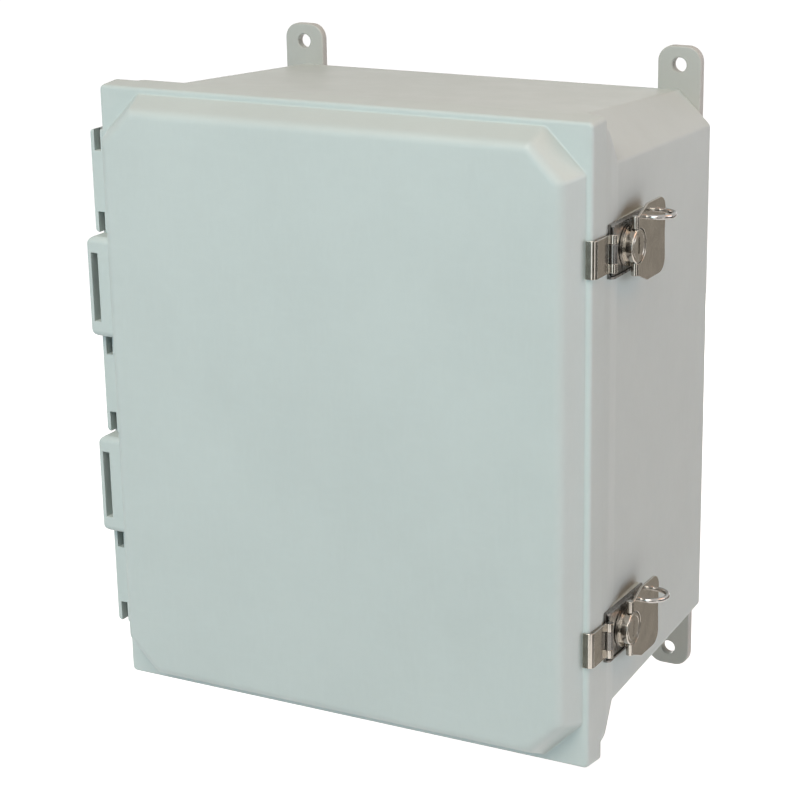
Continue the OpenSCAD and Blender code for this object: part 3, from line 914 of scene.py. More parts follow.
@dataclass
class Dresser:
    """Gives pieces their finish and their body, and hides the frame nodes that they stand for.

    Attributes:
        finishes: All finishes.
        made: Materials that have been built, by name.
    """

    finishes: Finishes = field(default_factory=Finishes)
    made: dict[str, bpy.types.Material] = field(default_factory=dict)

    def material(self, finish: Finish) -> bpy.types.Material:
        """Builds a finish at its first use.

        Args:
            finish: The finish.

        Returns:
            Its material.
        """
        if finish.name not in self.made:
            self.made[finish.name] = finish.material()
        return self.made[finish.name]

    def dress(self, piece: bpy.types.Object, finish: Finish, slot: str, body: str, *nodes: str) -> None:
        """Finishes a new piece and hangs it on its body.

        Args:
            piece: The piece to finish.
            finish: Its finish.
            slot: The record's material slot that it follows; not used.
            body: The body that it moves with.
            *nodes: Frame nodes that it stands for.
        """
        piece.data.materials.clear()
        piece.data.materials.append(self.material(finish))
        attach(piece, body)
        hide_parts(*nodes)
        LOG.info("%s: %d faces on %s", piece.name, len(piece.data.polygons), body)

    def paint(self, node: str, finish: Finish) -> None:
        """Gives a frame node that stays visible its finish.

        Args:
            node: Name of the node.
            finish: Its finish.
        """
        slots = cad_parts[node].data.materials
        slots.clear()
        slots.append(self.material(finish))
        LOG.info("%s: frame node with %s", node, finish.name)


# Sizes that several pieces share

WALL = 3.6
RIM = Outline(142.5, 168.0, 0.0, 14.0)
FLANGE_FRONT = Outline(142.5, 168.0, 0.0, 3.0)
FLANGE_BACK = Outline(143.4, 168.9, 0.0, 3.0)
FLANGE_INNER = Outline(140.35, 165.85, 0.0, 0.85)
BODY_FRONT = Outline(140.8, 164.3, 21.5, 3.0)
BODY_BACK = Outline(136.0, 156.3, 18.0, 3.0)
OPENING = BODY_FRONT.grown(-WALL)
GROOVE_OUTER = OPENING.grown(3.5)
GROOVE_INNER = OPENING.grown(-0.1)
PANEL_FOOT = Outline(139.3, 164.6, 21.5, 4.0)
LAND_Y = -159.68
SEAM_Y = -159.8
FLANGE_Y = -173.8
GROOVE_Y = -165.8
PIN_X = -151.5
PIN_RADIUS = 2.0
BORE_RADIUS = 2.05
LATCH_X = 142.5
LATCH_Y = -137.3
LATCH_Z = 101.5
FOOT_X = 117.5
FIX_Z = 112.0
FOOT_W = 25.0
FOOT_LEN = 78.0
FOOT_TOP = 179.7
FOOT_THICK = 5.0
FOOT_CORNER = 8.5
SCREW_HOLE_R = 3.05
PANEL_X = 101.6
PANEL_Z = 127.0
INSERT_FRONT = -19.5
INSERT_LEN = 10.0
INSERT_R = 3.5
CUT_PAST = 1.0


def mirrored(x: float, z: float) -> list[Span]:
    """The four places of a pattern that is the same on all sides."""
    return [(sx * x, sz * z) for sx in (-1, 1) for sz in (-1, 1)]


# Mouldings


@dataclass
class HingeLayout:
    """The hinge's five segments, with places counted from the pin.

    Attributes:
        length: Length over all segments.
        gap: Gap between two neighbours.
        lug_r: Half width of lugs and knuckles.
        slot: Half width of the slots, a hair less than the bore.
    """

    length: float = 284.0
    gap: float = 0.6
    lug_r: float = 4.6
    slot: float = BORE_RADIUS - 0.02

    def segment(
        self, name: str, span: Span, end_r: float, outline: Callable[[float], list[Vector]]
    ) -> bpy.types.Object:
        """Draws one segment upwards, with rounded ends.

        Args:
            name: Name of the new piece.
            span: Lowest and highest Z.
            end_r: Radius of the rounding at each end.
            outline: Outline round the pin, for how far the rounding has drawn in.

        Returns:
            The closed segment.
        """
        turns = [math.pi / 12 * j for j in range(7)]
        ends = [(end_r * (1 - math.cos(a)), end_r * (1 - math.sin(a))) for a in turns]
        levels = [(span[0] + d, e) for d, e in ends] + [(span[1] - d, e) for d, e in reversed(ends)]
        rings = [[Vector((PIN_X + p.x, SEAM_Y + p.y, z)) * MM for p in outline(e)] for z, e in levels]
        return skin(name, rings)

    def opening(self, y: Span, z: Span) -> bpy.types.Object:
        """Makes the tool that opens a segment's bore to the front or to the back."""
        return block("slot", (PIN_X - self.slot, PIN_X + self.slot), (SEAM_Y + y[0], SEAM_Y + y[1]), z)

    def bore(self, z: Span) -> bpy.types.Object:
        """Makes the tool for a segment's bore."""
        length = z[1] - z[0] + 2 * CUT_PAST
        return rod("bore", Axis.Z, (PIN_X, SEAM_Y, z[0] - CUT_PAST), length, BORE_RADIUS, sides=32)

    def ease_slots(self, piece: bpy.types.Object, front: float, size: float) -> None:
        """Rounds the rims of a segment's front slots.

        Args:
            piece: The segment.
            front: Furthest Y, from the pin, of the rims.
            size: Distance at which the rounding starts.
        """
        last, reach = SEAM_Y + front, self.slot + NEAR / 2
        round_edges(piece, lambda a, b: all(p.y < last and abs(p.x - PIN_X) < reach for p in (a, b)), size)

    def heights(self, index: int) -> Span:
        """Lowest and highest Z of a segment.

        Args:
            index: The segment's number, counted from the bottom.

        Returns:
            Both heights.
        """
        step = self.length / 5
        low = -self.length / 2 + index * step
        return (low + (self.gap / 2 if index else 0.0), low + step - (self.gap / 2 if index < 4 else 0.0))


@dataclass
class BoxMoulding:
    """Box with its round-cornered rim, corner gussets, drafted body, lugs, latch seats and bosses.

    Attributes:
        hinge: Layout of the hinge.
        back_y: Back of the body.
        inner_back_y: Inside of the back.
        margin: Width of the back's margin, outside and inside.
        gusset_y: Where the corner gussets start.
        rim_back_y: Where they end in the rim.
        tongue: Inner and outer side of the sealing tongue, counted from the opening.
        tongue_h: Height of the tongue.
        lug_sweep: Radius of the cover edge's path, which the lugs stay clear of.
        lug_front: Front of the lugs, counted from the pin.
        lug_slot: Length of a lug's front slot.
        slot_rim: How far back the rims of the front slots reach.
        slot_edge: Rounding of those rims.
        lug_corner: Rounding of a lug's ends.
        lug_ease: Shares of that rounding that a lug's front and back take up.
        lug_soft: Rounding of a lug's edges.
        lug_clear: Room behind the seam.
        web: Corners of the web behind a lug, counted from the pin.
        seat_half: Half height of a latch seat.
        seat_x: Where a seat starts, inside the wall.
        seat_low: How far a seat stays below the rim's side.
        seat_lap: How far it runs into the rim.
        seat_end: Back end of a seat.
        seat_soft: Rounding of a seat's edges.
        boss_r: Radius of the bosses.
        boss_edge: Chamfer of their tops.
        flare: Flare of their roots.
        panel_boss: Height of the panel bosses.
        foot_boss: Height of the foot-screw bosses.
        insert_hole: Radius, start and end of a foot insert's hole.
        insert_fit: Room behind and round a panel insert.
        foot_gap: Room round a foot in its recess.
        pocket: Depth and radius of the pocket behind a hub.
        rivets: Rivet holes, back from the hub's axis and up.
        rivet_depth: How far the rivet holes run in.
    """

    hinge: HingeLayout = field(default_factory=HingeLayout)
    back_y: float = -3.0
    inner_back_y: float = -7.5
    margin: Span = (6.0, 8.0)
    gusset_y: float = -139.4
    rim_back_y: float = -151.4
    tongue: Span = (0.9, 2.5)
    tongue_h: float = 2.12
    lug_sweep: float = 7.6
    lug_front: float = 6.0
    lug_slot: float = 11.5
    slot_rim: float = 0.4
    slot_edge: float = 0.3
    lug_corner: float = 2.0
    lug_ease: Span = (0.15, 0.26)
    lug_soft: float = 0.8
    lug_clear: float = 0.6
    web: tuple[Span, ...] = ((11.0, 0.6), (11.0, 14.0), (8.5, 8.0))
    seat_half: float = 13.0
    seat_x: float = 137.9
    seat_low: float = 0.05
    seat_lap: float = 2.0
    seat_end: float = -106.8
    seat_soft: float = 1.2
    boss_r: float = 7.5
    boss_edge: float = 0.5
    flare: float = 2.0
    panel_boss: float = 12.0
    foot_boss: float = 10.5
    insert_hole: tuple[float, float, float] = (4.52, -4.5, -13.55)
    insert_fit: Span = (0.05, 0.02)
    foot_gap: float = 0.3
    pocket: Span = (2.2, 6.0)
    rivets: tuple[Span, ...] = ((22.0, 7.5), (22.0, -7.5), (-12.5, 0.0))
    rivet_depth: float = 12.5

    def shell(self) -> bpy.types.Object:
        """Lofts the walls from the outer back round the land to the inner back.

        Returns:
            The plain box.
        """
        inner, outer = [OPENING.grown(by) for by in self.tongue]
        tip_y = LAND_Y - self.tongue_h
        return loft(
            "moulded_box",
            [
                Station(BODY_BACK.grown(-self.margin[0]), self.back_y),
                Station(BODY_BACK, self.back_y, 3.0, 6),
                Station(BODY_FRONT, self.gusset_y, 1.2, 3),
                Station(RIM, self.rim_back_y, 1.4, 4),
                Station(RIM, LAND_Y, 0.3, 2),
                Station(outer, LAND_Y),
                Station(outer, tip_y, 0.4, 3),
                Station(inner, tip_y, 0.4, 3),
                Station(inner, LAND_Y),
                Station(OPENING, LAND_Y, 0.3, 2),
                Station(OPENING, self.gusset_y),
                Station(BODY_BACK.grown(-WALL), self.inner_back_y, 3.0, 4),
                Station(BODY_BACK.grown(-self.margin[1]), self.inner_back_y),
            ],
        )

    def lug_outline(self, drawn: float) -> list[Vector]:
        """Outline of a lug and its web round the pin.

        Args:
            drawn: How far the end's rounding has drawn in.

        Returns:
            The outline's points.
        """
        front_ease, back_ease = self.lug_ease
        left, front, sweep = drawn - self.hinge.lug_r, front_ease * drawn - self.lug_front, self.lug_sweep
        first, last = math.asin(-self.lug_front / sweep), math.asin(self.lug_clear / sweep)
        turns = [first + (last - first) * j / 8 for j in range(9)]
        path = [(sweep * math.cos(a), max(front, sweep * math.sin(a)), 0.0) for a in turns]
        web = [(x, y, 0.0) for x, y in self.web]
        back = (left, self.hinge.lug_r + back_ease * drawn, self.lug_soft)
        return eased([(left, front, self.lug_soft), *path, *web, back])

    def lug(self, index: int) -> bpy.types.Object:
        """Makes one lug of the hinge, open to the front at its ends and to the back in its middle.

        Args:
            index: The segment's number, counted from the bottom.

        Returns:
            The lug.
        """
        span = low, high = self.hinge.heights(index)
        piece = self.hinge.segment("lug", span, self.lug_corner, self.lug_outline)
        front, behind = (-self.lug_front - CUT_PAST, 0.0), (0.0, 20.0)
        combine(
            piece,
            Join.CUT,
            self.hinge.bore(span),
            self.hinge.opening(front, (low - CUT_PAST, low + self.lug_slot)),
            self.hinge.opening(front, (high - self.lug_slot, high + CUT_PAST)),
            self.hinge.opening(behind, (low + self.lug_slot, high - self.lug_slot)),
        )
        self.hinge.ease_slots(piece, self.slot_rim - self.lug_front, self.slot_edge)
        return piece

    def seat(self, z: float) -> bpy.types.Object:
        """Makes the raised seat under one latch, level with the rim.

        Args:
            z: Height of the latch.

        Returns:
            The seat.
        """
        start, half = self.rim_back_y - self.seat_lap, self.seat_half
        side = (self.seat_x, LATCH_X - self.seat_low)
        piece = block("seat", side, (start, self.seat_end), (z - half, z + half))
        round_edges(piece, lambda a, b: min(a.x, b.x) > LATCH_X - 1, self.seat_soft, 4)
        return piece

    def bosses(self) -> list[bpy.types.Object]:
        """Makes the bosses for the panel inserts and the foot screws, each with a flared root.

        Returns:
            The bosses.
        """
        made = []
        r, f, e = self.boss_r, self.flare, self.boss_edge
        places = [(p, self.panel_boss) for p in mirrored(PANEL_X, PANEL_Z)]
        places += [(p, self.foot_boss) for p in mirrored(FOOT_X, FIX_Z)]
        hollow = [(r + 0.45 * f, -0.15 * f), (r + 0.15 * f, -0.45 * f)]
        root = [(0, f), (r + f, f), (r + f, 0), *hollow, (r, -f)]
        for (x, z), height in places:
            profile = [*root, (r, e - height), (r - e, -height), (0, -height)]
            made.append(lathe("boss", (x, self.inner_back_y, z), Axis.Y, profile, 40))
        return made

    def recess(self, x: float, z: float) -> bpy.types.Object:
        """Makes the tool for one foot's recess in the back.

        Args:
            x: Middle of the foot.
            z: Height of its screw.

        Returns:
            The tool.
        """
        middle = math.copysign(FOOT_TOP - FOOT_LEN / 2, z)
        wide, high = FOOT_W / 2 + self.foot_gap, FOOT_LEN / 2 + self.foot_gap
        depth = (-FOOT_THICK, self.back_y + CUT_PAST)
        tool = block("recess", (x - wide, x + wide), depth, (middle - high, middle + high))
        round_edges(tool, lambda a, b: abs(a.y - b.y) > 1, FOOT_CORNER + self.foot_gap, 6)
        return tool

    def holes(self) -> list[bpy.types.Object]:
        """Makes the tools for screw holes, insert seats, rivet holes and hub pockets.

        Returns:
            The tools.
        """
        tools = []
        s, (r, start, end) = SCREW_HOLE_R, self.insert_hole
        for x, z in mirrored(FOOT_X, FIX_Z):
            profile = [(0, CUT_PAST), (s, CUT_PAST), (s, start), (r, start), (r, end), (0, end)]
            tools.append(lathe("screw_hole", (x, self.back_y, z), Axis.Y, profile, 32))
        end_gap, side_gap = self.insert_fit
        length, radius = INSERT_LEN + end_gap + CUT_PAST, INSERT_R + side_gap
        for x, z in mirrored(PANEL_X, PANEL_Z):
            foot = (x, INSERT_FRONT - CUT_PAST, z)
            tools.append(rod("insert_seat", Axis.Y, foot, length, radius, sides=40))
        depth, radius = self.pocket
        length = self.rivet_depth + CUT_PAST
        for z in (LATCH_Z, -LATCH_Z):
            tools.append(rod("pocket", Axis.X, (LATCH_X - depth, LATCH_Y, z), depth + CUT_PAST, radius))
            for back, up in self.rivets:
                foot = (LATCH_X - self.rivet_depth, LATCH_Y + back, z + up)
                tools.append(rod("rivet_hole", Axis.X, foot, length, BORE_RADIUS, sides=24))
        return tools

    def build(self, dresser: Dresser) -> None:
        """Builds and dresses the box.

        Args:
            dresser: Gives the piece its finish and body.
        """
        piece = self.shell()
        combine(piece, Join.FUSE, *[self.lug(k) for k in (0, 2, 4)])
        combine(piece, Join.FUSE, self.seat(LATCH_Z), self.seat(-LATCH_Z))
        combine(piece, Join.FUSE, *self.bosses())
        combine(piece, Join.CUT, *[self.recess(x, z) for x, z in mirrored(FOOT_X, FIX_Z)])
        combine(piece, Join.CUT, *self.holes())
        smooth(piece)
        dresser.dress(piece, dresser.finishes.fiberglass, "fiberglass", "box_body", "box")


@dataclass
class CoverMoulding:
    """Cover with its flange, raised chamfered panel, gasket groove and hinge knuckles.

    Attributes:
        hinge: Layout of the hinge.
        panel_y: Front of the raised panel.
        panel_lean: How far the panel's sides lean in.
        margin: Width of the panel's margin.
        strip: Width of the narrow strip round the panel's foot.
        lip: Width of the lip inside the groove, counted from the opening.
        hollow: How far the hollow's foot, front and margin stand in from the panel's foot.
        proud: How far the knuckles stand in front of the flange.
        knuckle_r: Rounding of a knuckle's ends.
        knuckle_soft: Rounding of its outer front edge.
        barrel_ease: Share of the ends' rounding that the barrel takes up.
        barrel_start: Where the barrel starts, beyond its side and in front of the pin.
        seam_gap: Gap of the seam beside the barrel.
        window_edge: Rounding of the front window's rim.
        bridge: Length of the closed part at each end of a knuckle.
        reach: Width of a knuckle with its root in the flange.
        groove_clear: Wall between a knuckle and the groove, to the side and in front.
    """

    hinge: HingeLayout = field(default_factory=HingeLayout)
    panel_y: float = -188.8
    panel_lean: float = 6.8
    margin: float = 8.0
    strip: float = 0.9
    lip: float = 1.7
    hollow: tuple[float, float, float] = (3.9, 8.6, 13.0)
    proud: float = 1.0
    knuckle_r: float = 4.0
    knuckle_soft: float = 1.0
    barrel_ease: float = 0.1
    barrel_start: Span = (0.15, 0.6)
    seam_gap: float = 0.05
    window_edge: float = 0.5
    bridge: float = 9.0
    reach: float = 18.8
    groove_clear: float = 0.5

    def shell(self) -> bpy.types.Object:
        """Lofts the walls from the panel's front round the flange to the hollow behind it.

        Returns:
            The plain cover.
        """
        return loft(
            "moulded_cover",
            [
                Station(PANEL_FOOT.grown(-self.panel_lean - self.margin), self.panel_y),
                Station(PANEL_FOOT.grown(-self.panel_lean), self.panel_y, 4.6, 8),
                Station(PANEL_FOOT, FLANGE_Y, 0.8, 4),
                Station(PANEL_FOOT.grown(self.strip), FLANGE_Y),
                Station(FLANGE_INNER, FLANGE_Y),
                Station(FLANGE_FRONT, FLANGE_Y, 2.1, 6),
                Station(FLANGE_BACK, SEAM_Y, 0.4, 2),
                Station(GROOVE_OUTER, SEAM_Y),
                Station(GROOVE_OUTER, GROOVE_Y),
                Station(GROOVE_INNER, GROOVE_Y),
                Station(GROOVE_INNER, SEAM_Y, 0.3, 2),
                Station(OPENING.grown(-self.lip), SEAM_Y, 0.4, 2),
                Station(PANEL_FOOT.grown(-self.hollow[0]), FLANGE_Y),
                Station(PANEL_FOOT.grown(-self.hollow[1]), self.panel_y + WALL, 2.5, 4),
                Station(PANEL_FOOT.grown(-self.hollow[2]), self.panel_y + WALL),
            ],
        )

    def knuckle_outline(self, drawn: float) -> list[Vector]:
        """Outline of a knuckle and its barrel round the pin, clear of the gasket's groove.

        Args:
            drawn: How far the end's rounding has drawn in.

        Returns:
            The outline's points.
        """
        left, right = drawn - self.hinge.lug_r, self.reach - self.hinge.lug_r
        front = FLANGE_Y - self.proud - SEAM_Y + drawn
        barrel = self.hinge.lug_r - self.barrel_ease * drawn
        wall = -GROOVE_OUTER.half_w - self.groove_clear - PIN_X
        floor, seam = GROOVE_Y - self.groove_clear - SEAM_Y, -self.seam_gap
        side, start = self.barrel_start
        inner = [(right, front), (right, floor), (wall, floor), (wall, seam), (self.hinge.lug_r + side, seam)]
        turns = [math.pi / 12 * j for j in range(1, 12)]
        back = [(barrel * math.cos(a), barrel * math.sin(a), 0.0) for a in turns]
        outer = [(left, -start, 0.0), (left, front, self.knuckle_soft)]
        return eased([*[(x, y, 0.0) for x, y in inner], *back, *outer])

    def knuckle(self, index: int) -> bpy.types.Object:
        """Makes one knuckle of the hinge, with a front window in its middle.

        Args:
            index: The segment's number, counted from the bottom.

        Returns:
            The knuckle.
        """
        span = low, high = self.hinge.heights(index)
        piece = self.hinge.segment("knuckle", span, self.knuckle_r, self.knuckle_outline)
        front, window = FLANGE_Y - self.proud - SEAM_Y, (low + self.bridge, high - self.bridge)
        behind = (0.0, 6.0)
        combine(
            piece,
            Join.CUT,
            self.hinge.bore(span),
            self.hinge.opening((front - CUT_PAST, 0.0), window),
            self.hinge.opening(behind, (low - CUT_PAST, window[0])),
            self.hinge.opening(behind, (window[1], high + CUT_PAST)),
        )
        self.hinge.ease_slots(piece, front + 5 * NEAR, self.window_edge)
        return piece

    def build(self, dresser: Dresser) -> None:
        """Builds and dresses the cover.

        Args:
            dresser: Gives the piece its finish and body.
        """
        piece = self.shell()
        combine(piece, Join.FUSE, self.knuckle(1), self.knuckle(3))
        smooth(piece)
        dresser.dress(piece, dresser.finishes.fiberglass, "fiberglass", "cover_body", "cover")


@dataclass
class Gasket:
    """Foam ring in the cover's groove.

    Attributes:
        thickness: Thickness in the groove.
        side_gap: Gap to each wall of the groove.
        soft: Rounding of its edges.
    """

    thickness: float = 3.7
    side_gap: float = 0.05
    soft: float = 0.8

    def build(self, dresser: Dresser) -> None:
        """Builds and dresses the gasket.

        Args:
            dresser: Gives the piece its finish and body.
        """
        outer, inner = GROOVE_OUTER.grown(-self.side_gap), GROOVE_INNER.grown(self.side_gap)
        face = GROOVE_Y + self.thickness
        stations = [
            Station(outer, GROOVE_Y),
            Station(outer, face, self.soft, 4),
            Station(inner, face, self.soft, 4),
            Station(inner, GROOVE_Y),
        ]
        piece = loft("foam_gasket", stations, closed=True)
        smooth(piece)
        dresser.dress(piece, dresser.finishes.foam, "foam", "cover_body", "gasket")


# Small parts


@dataclass
class HingePin:
    """Steel pin through lugs and knuckles.

    Attributes:
        half_len: Half of its length.
        tip: Width of its eased ends.
    """

    half_len: float = 142.0
    tip: float = 0.6

    def build(self, dresser: Dresser) -> None:
        """Builds and dresses the pin.

        Args:
            dresser: Gives the piece its finish and body.
        """
        r, h, t = PIN_RADIUS, self.half_len, self.tip
        upper = [(r, h - t), (r - t / 3, h - t / 3), (r - t, h), (0, h)]
        profile = [(radius, -height) for radius, height in reversed(upper)] + upper
        piece = lathe("hinge_rod", (PIN_X, SEAM_Y, 0), Axis.Z, profile, 32)
        smooth(piece)
        # The pin's dark colour is painted shade for the shade inside the slots.
        dresser.dress(piece, dresser.finishes.pin_shade, "stainless", "box_body", "hinge_pin")


@dataclass
class Feet:
    """Four mounting feet with their screws, each modelled once and copied.

    Attributes:
        hole_z: Height of the wall hole.
        hole_r: Radius of the wall hole.
        edge: Chamfer of the wall hole.
        front_edge: Rounding of a foot's front edges.
        back_edge: Rounding of its back edges.
        head_hole: Radius and depth of the screw's countersink.
        head_r: Radius of the screw's head.
        head_edge: Width and depth of the head's eased edge.
        sink: How far the head stands below the foot's back.
        cone: Depth of the head's cone.
        neck: Width and length of the step from the cone to the shank.
        shank_r: Radius of the screw's shank.
        tip: Chamfer of the shank's end.
        screw_len: Length of the screw.
        socket: Depth and corner radius of its hexagon socket.
    """

    hole_z: float = 169.5
    hole_r: float = 4.0
    edge: float = 0.5
    front_edge: float = 0.9
    back_edge: float = 0.4
    head_hole: Span = (6.05, 3.0)
    head_r: float = 5.95
    head_edge: Span = (0.35, 0.15)
    sink: float = 0.05
    cone: float = 3.0
    neck: Span = (0.2, 0.3)
    shank_r: float = 3.0
    tip: float = 0.6
    screw_len: float = 15.0
    socket: Span = (2.0, 2.31)

    def foot(self) -> bpy.types.Object:
        """Makes the upper right foot, with eased edges and hole rims.

        Returns:
            The foot.
        """
        x, t, out = FOOT_X, FOOT_THICK, -FOOT_THICK - CUT_PAST
        height = (FOOT_TOP - FOOT_LEN, FOOT_TOP)
        piece = block("wall_foot_top_right", (x - FOOT_W / 2, x + FOOT_W / 2), (-t, 0.0), height)
        round_edges(piece, lambda a, b: abs(a.y - b.y) > 1, FOOT_CORNER, 8)
        round_edges(piece, lambda a, b: max(a.y, b.y) < NEAR - t, self.front_edge, 4)
        round_edges(piece, lambda a, b: min(a.y, b.y) > -NEAR, self.back_edge, 2)
        r, e, s, (head, depth) = self.hole_r, self.edge, SCREW_HOLE_R, self.head_hole
        wall_hole = [(0, CUT_PAST), (r, CUT_PAST), (r, e - t), (r + e, -t), (r + e, out), (0, out)]
        screw_hole = [(0, CUT_PAST), (head, CUT_PAST), (head, 0), (s, -depth), (s, out), (0, out)]
        combine(
            piece,
            Join.CUT,
            lathe("wall_hole", (x, 0, self.hole_z), Axis.Y, wall_hole),
            lathe("screw_hole", (x, 0, FIX_Z), Axis.Y, screw_hole),
        )
        return piece

    def screw(self) -> bpy.types.Object:
        """Makes the upper right foot screw, countersunk, with a hexagon socket.

        Returns:
            The screw.
        """
        h, r, s, end = self.head_r, self.shank_r, self.sink, -self.screw_len
        (wide, deep), cone, (out, down) = self.head_edge, self.cone, self.neck
        head = [(0, -s), (h - wide, -s), (h, -s - deep), (h, -s - 2 * deep)]
        shank = [(r + out, -cone), (r, -cone - down), (r, end + self.tip), (r - self.tip, end)]
        profile = [*head, *shank, (0, end)]
        piece = lathe("foot_screw_top_right", (FOOT_X, 0, FIX_Z), Axis.Y, profile)
        depth, radius = self.socket
        foot = (FOOT_X, -depth, FIX_Z)
        combine(piece, Join.CUT, rod("socket", Axis.Y, foot, depth + CUT_PAST, radius, sides=6))
        soften(piece, 0.15)
        smooth(piece)
        return piece

    def build(self, dresser: Dresser) -> None:
        """Builds the feet and their screws, and dresses them.

        Args:
            dresser: Gives the pieces their finish and body.
        """
        foot, screw = self.foot(), self.screw()
        left, right, down = (-2 * FOOT_X, 0, 0), (2 * FOOT_X, 0, 0), (0, 0, -2 * FIX_Z)
        feet = {
            "top_right": foot,
            "top_left": copy_of(foot, "wall_foot_top_left", left),
            "bottom_left": copy_of(foot, "wall_foot_bottom_left", turned=True),
        }
        feet["bottom_right"] = copy_of(feet["bottom_left"], "wall_foot_bottom_right", right)
        for place, piece in feet.items():
            smooth(piece)
            dresser.dress(piece, dresser.finishes.foot, "foot_grey", "box_body", f"foot_{place}")
        screws = [screw, copy_of(screw, "foot_screw_top_left", left)]
        screws += [copy_of(s, s.name.replace("top", "bottom"), down) for s in screws]
        for piece in screws:
            dresser.dress(piece, dresser.finishes.plated, "plated", "box_body", "foot_screws")


@dataclass
class PanelInserts:
    """Brass inserts in the panel bosses, with a chamfered, grooved bore.

    Attributes:
        bore: Radius of the bore.
        edge: Chamfer of the bore.
        pitch: Distance of two thread grooves.
        thread: Depth of a groove.
    """

    bore: float = 2.1
    edge: float = 0.5
    pitch: float = 0.8
    thread: float = 0.28

    def build(self, dresser: Dresser) -> None:
        """Builds the inserts and dresses them.

        Args:
            dresser: Gives the pieces their finish and body.
        """
        r, b, e = INSERT_R, self.bore, self.edge
        profile = [(b + e, 0), (r - e / 2, 0), (r, e / 2), (r, INSERT_LEN), (b, INSERT_LEN)]
        for k in range(int((INSERT_LEN - 3 * e) / self.pitch), 0, -1):
            profile += [(b, k * self.pitch + e), (b + self.thread, (k - 0.5) * self.pitch + e)]
        profile.append((b, e))
        (x, z), *others = mirrored(PANEL_X, PANEL_Z)
        first = lathe("panel_insert_1", (x, INSERT_FRONT, z), Axis.Y, profile, 40)
        smooth(first)
        pieces = [first]
        for number, (p, q) in enumerate(others, 2):
            pieces.append(copy_of(first, f"panel_insert_{number}", (p - x, 0, q - z)))
        for piece in pieces:
            dresser.dress(piece, dresser.finishes.brass, "brass", "box_body", "panel_inserts")
        dresser.paint("foot_inserts", dresser.finishes.brass)


# Latches


class LatchPart(Enum):
    """Pieces of one latch: node ending, body, edge break and steps."""

    BASE = ("base", "box_body", 0.2, 3)
    RIVETS = ("rivets", "box_body", 0.2, 2)
    HUB = ("hub", "{side}_hub_body", 0.08, 2)
    RETAINER = ("retainer", "{side}_hub_body", 0.15, 2)
    LINK = ("link", "{side}_link_body", 0.2, 2)
    HOOK_PIN = ("hook_pin", "{side}_link_body", 0.2, 2)
    HOOK = ("hook", "{side}_hook_body", 0.2, 3)
    HANDLE = ("handle", "{side}_handle_body", 0.22, 3)
    HANDLE_PIN = ("handle_pin", "{side}_handle_body", 0.2, 2)
    STAPLE = ("staple", "{side}_handle_body", 0.12, 2)


@dataclass
class Latches:
    """Two twist latches: the upper one is modelled, the lower one copied from it.

    Attributes:
        face_x: Outer face of the hub.
        ring: Inner and outer radius of the groove in the hub's face.
        ring_depth: Depth of the groove.
        ring_lean: How far its sides lean out, from its floor to the top of the tool.
        sheet: Thickness of the hook.
        frame_bend: Outer radius of the hook's bend in the frame.
        bend: Outer radius of the hook's bend.
        inner_bend: Inner radius of the hook's bend.
    """

    face_x: float = LATCH_X + 9.0
    ring: Span = (6.3, 6.9)
    ring_depth: float = 0.35
    ring_lean: float = 0.3
    sheet: float = 1.2
    frame_bend: float = 1.8
    bend: float = 3.0
    inner_bend: float = 1.6

    def ease_bend(self, piece: bpy.types.Object) -> None:
        """Gives the hook's bend a wider radius outside, and one to suit inside.

        Args:
            piece: The hook, with the frame's own bend.
        """
        front = min(v.co.y for v in piece.data.vertices) / MM
        near = [v for v in piece.data.vertices if v.co.y / MM < front + self.frame_bend + NEAR]
        side = max(v.co.x for v in near) / MM
        middle = Vector((side - self.frame_bend, front + self.frame_bend))
        more = (self.bend - self.frame_bend) * MM
        for vertex in near:
            out = (vertex.co.xy / MM - middle) / self.frame_bend
            if out.x > -NEAR and out.length > 1 - NEAR:
                vertex.co += Vector((out.x - 1.0, out.y + 1.0, 0.0)) * more
        corner = Vector((side - self.sheet, front + self.sheet))
        round_edges(
            piece,
            lambda a, b: all((p.xy - corner).length < NEAR for p in (a, b)),
            self.inner_bend,
            4,
        )

    def part(self, part: LatchPart) -> bpy.types.Object:
        """Makes one piece of the upper latch with broken edges.

        Args:
            part: Which piece.

        Returns:
            The piece.
        """
        ending, _, width, steps = part.value
        piece = from_node(f"upper_latch_{ending}", f"upper_{ending}")
        if part is LatchPart.HOOK:
            self.ease_bend(piece)
        soften(piece, width, steps)
        if part is LatchPart.HUB:
            (r, s), d, f = self.ring, self.ring_depth, self.ring_lean
            ring = [(r, -d), (s, -d), (s + f, CUT_PAST), (r - f, CUT_PAST)]
            combine(piece, Join.CUT, lathe("ring", (self.face_x, LATCH_Y, LATCH_Z), Axis.X, ring))
        smooth(piece, 35)
        return piece

    def finish(self, part: LatchPart, finishes: Finishes) -> tuple[MetalFinish, str]:
        """Chooses the finish of a latch piece.

        Args:
            part: Which piece.
            finishes: All finishes.

        Returns:
            The finish and its material slot.
        """
        if part in (LatchPart.RIVETS, LatchPart.RETAINER, LatchPart.HOOK_PIN, LatchPart.HANDLE_PIN):
            return finishes.plated, "plated"
        # The base and link take the darker steel, whose colour is painted shade.
        if part in (LatchPart.BASE, LatchPart.LINK):
            return finishes.shaded, "stainless"
        return (finishes.wire if part is LatchPart.STAPLE else finishes.steel), "stainless"

    def build(self, dresser: Dresser) -> None:
        """Builds both latches and dresses them.

        Args:
            dresser: Gives the pieces their finish and body.
        """
        for part in LatchPart:
            ending, body = part.value[:2]
            finish, slot = self.finish(part, dresser.finishes)
            upper = self.part(part)
            lower = copy_of(upper, f"lower_{ending}", (0, 0, -2 * LATCH_Z))
            for side, piece in (("upper", upper), ("lower", lower)):
                dresser.dress(piece, finish, slot, body.format(side=side), f"{side}_latch_{ending}")


# Studio, in metres

MIDDLE = (0.0, -0.1, 0.0)
LATCH_SIDE = (0.15, -0.14, 0.0)


def facing(place: Place, aim: Place, front: str) -> Euler:
    """Turn that points an object's front axis at a place."""
    return (Vector(aim) - Vector(place)).to_track_quat(front, "Y").to_euler()


